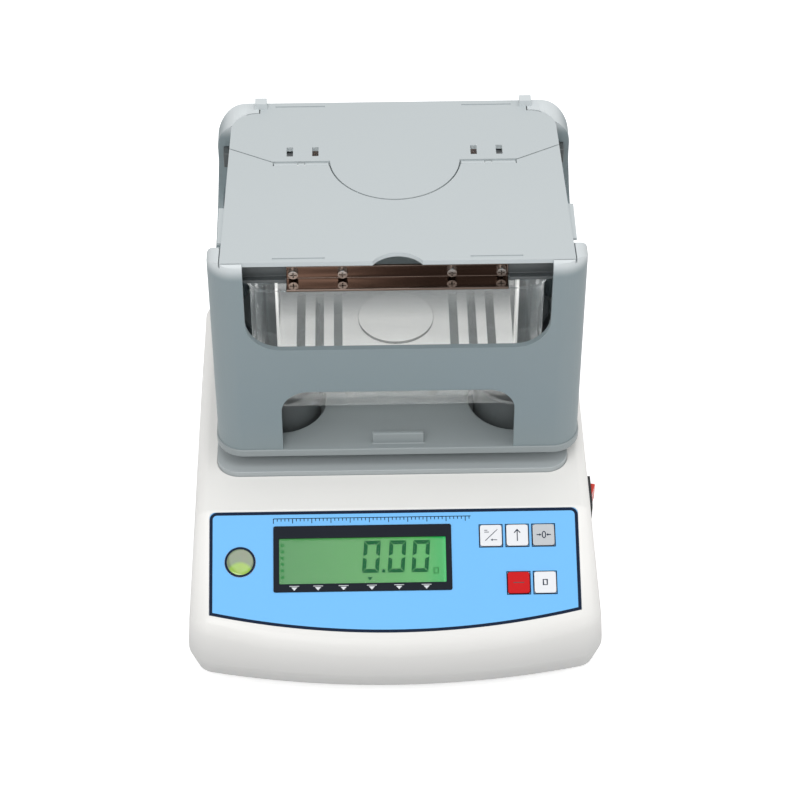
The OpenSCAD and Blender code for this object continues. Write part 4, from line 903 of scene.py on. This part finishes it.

# keys: painted shadow in the gap round each, and a plain sign on each
keys = {"x": 0.0503, "s": 0.0153, "pitch": 0.0137, "row": 0.0254, "gapHalf": 0.0060, "gapLine": 0.0005,
        "spots": [(0, 0), (1, 0), (2, 0), (1, 1), (2, 1)]}
keySigns = [  # strokes, loops and filled shapes in mm from the key's middle
    {"width": 0.35, "strokes": [[(-3.0, 2.8), (3.4, -3.2)], [(-3.4, -1.8), (-1.0, -1.8)],
                                [(-3.4, -2.8), (-1.8, -2.8)], [(0.8, 2.4), (3.2, 2.4)]],
     "fills": [[(0.8, 1.7), (0.8, 3.1), (-0.2, 2.4)]]},
    {"width": 0.5, "strokes": [[(0, -2.8), (0, 3.2)], [(-1.6, -1.2), (0, -3.0), (1.6, -1.2)]]},
    {"width": 0.5, "strokes": [[(-3.6, 0), (-1.8, 0)], [(3.8, 0), (2.2, 0)]],
     "loops": [[(0.2 + 0.9 * x, 1.7 * s) for x, s in circle(16, 1)]],
     "fills": [[(-2.1, -0.8), (-2.1, 0.8), (-1.2, 0)], [(2.4, -0.8), (2.4, 0.8), (1.5, 0)]]},
    {"width": 0.4, "strokes": [[(-2.8, 0), (2.8, 0)]]},
    {"width": 0.5, "loops": [rectangle(-1.0, -1.4, 1.0, 1.4)]}]


def keyCentre(i):
    column, row = keys["spots"][i]
    return keys["x"] + column * keys["pitch"], keys["s"] + row * keys["row"]


# painted shadow: a dark ink ring in the gap round each key
def drawKeyGapShade(bm, place):
    half = keys["gapHalf"]
    for i in range(len(keys["spots"])):
        x, s = keyCentre(i)
        edge = rectangle(x - half, s - half, x + half, s + half)
        ribbonStrip(bm, edge, keys["gapLine"], place, closed=True)


def signDrawing(i):
    x0, s0 = keyCentre(i)
    sign = keySigns[i]

    def placed(points):
        return [(x0 + x / 1000, s0 + s / 1000) for x, s in points]

    def drawing(bm, place):
        for kind, closed in (("strokes", False), ("loops", True)):
            for points in sign.get(kind, []):
                ribbonStrip(bm, placed(points), sign["width"] / 1000, place, closed)
        for points in sign.get("fills", []):
            addPolygon(bm, placed(points), place)
    return drawing


printPiece("keyGapShade", drawKeyGapShade, printLift["panel"], inkPrint, "blue_panel")
for i, node in enumerate(keyLook):
    ink = blackPlastic if keyLook[node] is keyRed else inkPrint
    printPiece("keySign%d" % (i + 1), signDrawing(i), printLift["key"], ink, "black_plastic", node, "thin")
print("key signs made")

# studio
studio = {"floor": (250, 250, 250), "floorRough": 0.9, "floorGlow": 0.5, "floorHalf": 6, "floorZ": -0.0002,
          "world": 0.6}
lamps = {
    "overhead": {"place": (0.1, -0.2, 1.6), "aim": (0, -0.05, 0.08), "size": (1.2, 0.9), "power": 7.0},
    "front": {"place": (-0.35, -1.15, 1.3), "aim": (0, 0.02, 0.13), "size": (0.7, 0.6), "power": 7.5},
    "side": {"place": (1.3, -0.3, 0.9), "aim": (0, 0, 0.1), "size": (0.8, 0.8), "power": 2.0}}


def setLamps():
    for name, look in lamps.items():
        lamp = bpy.data.lights.new(name, "AREA")
        lamp.shape = "RECTANGLE"
        lamp.size, lamp.size_y = look["size"]
        lamp.energy = look["power"]
        obj = bpy.data.objects.new(name, lamp)
        scene.collection.objects.link(obj)
        obj.location = look["place"]
        aim = Vector(look["aim"]) - Vector(look["place"])
        obj.rotation_euler = aim.to_track_quat("-Z", "Y").to_euler()


def setWorld():  # soft light on the object, plain white where the camera, gloss or glass sees past it
    world = bpy.data.worlds.new("studio")
    scene.world = world
    world.use_nodes = True
    tree = world.node_tree
    soft = tree.nodes["Background"]
    plain = tree.nodes.new("ShaderNodeBackground")
    for node, strength in ((soft, studio["world"]), (plain, 1.0)):
        node.inputs["Color"].default_value = (1, 1, 1, 1)
        node.inputs["Strength"].default_value = strength
    path = tree.nodes.new("ShaderNodeLightPath")
    seen = path.outputs["Is Camera Ray"]
    for ray in ("Is Glossy Ray", "Is Transmission Ray"):
        either = tree.nodes.new("ShaderNodeMath")
        either.operation = "MAXIMUM"
        tree.links.new(seen, either.inputs[0])
        tree.links.new(path.outputs[ray], either.inputs[1])
        seen = either.outputs[0]
    mix = tree.nodes.new("ShaderNodeMixShader")
    tree.links.new(seen, mix.inputs["Fac"])
    tree.links.new(soft.outputs[0], mix.inputs[1])
    tree.links.new(plain.outputs[0], mix.inputs[2])
    tree.links.new(mix.outputs[0], tree.nodes["World Output"].inputs["Surface"])


def setFloor():  # pale paper, lifted to white for the camera, with the object's shadow on it
    mesh = bpy.data.meshes.new("floor")
    bm = bmesh.new()
    bmesh.ops.create_grid(bm, x_segments=1, y_segments=1, size=studio["floorHalf"])
    bm.to_mesh(mesh)
    bm.free()
    floor = bpy.data.objects.new("floor", mesh)
    scene.collection.objects.link(floor)
    floor.location.z = studio["floorZ"]
    material, tree, shader = newMaterial("floorPaper")
    shader.inputs["Base Color"].default_value = tone(*studio["floor"])
    shader.inputs["Roughness"].default_value = studio["floorRough"]
    path = tree.nodes.new("ShaderNodeLightPath")
    lit = tree.nodes.new("ShaderNodeEmission")
    lit.inputs["Strength"].default_value = studio["floorGlow"]
    both = tree.nodes.new("ShaderNodeAddShader")
    pick = tree.nodes.new("ShaderNodeMixShader")
    tree.links.new(shader.outputs[0], both.inputs[0])
    tree.links.new(lit.outputs[0], both.inputs[1])
    tree.links.new(path.outputs["Is Camera Ray"], pick.inputs["Fac"])
    tree.links.new(shader.outputs[0], pick.inputs[1])
    tree.links.new(both.outputs[0], pick.inputs[2])
    tree.links.new(pick.outputs[0], tree.nodes["Material Output"].inputs["Surface"])
    mesh.materials.append(material)


setWorld()
setLamps()
setFloor()
scene.view_settings.view_transform = "Standard"
print("studio set")
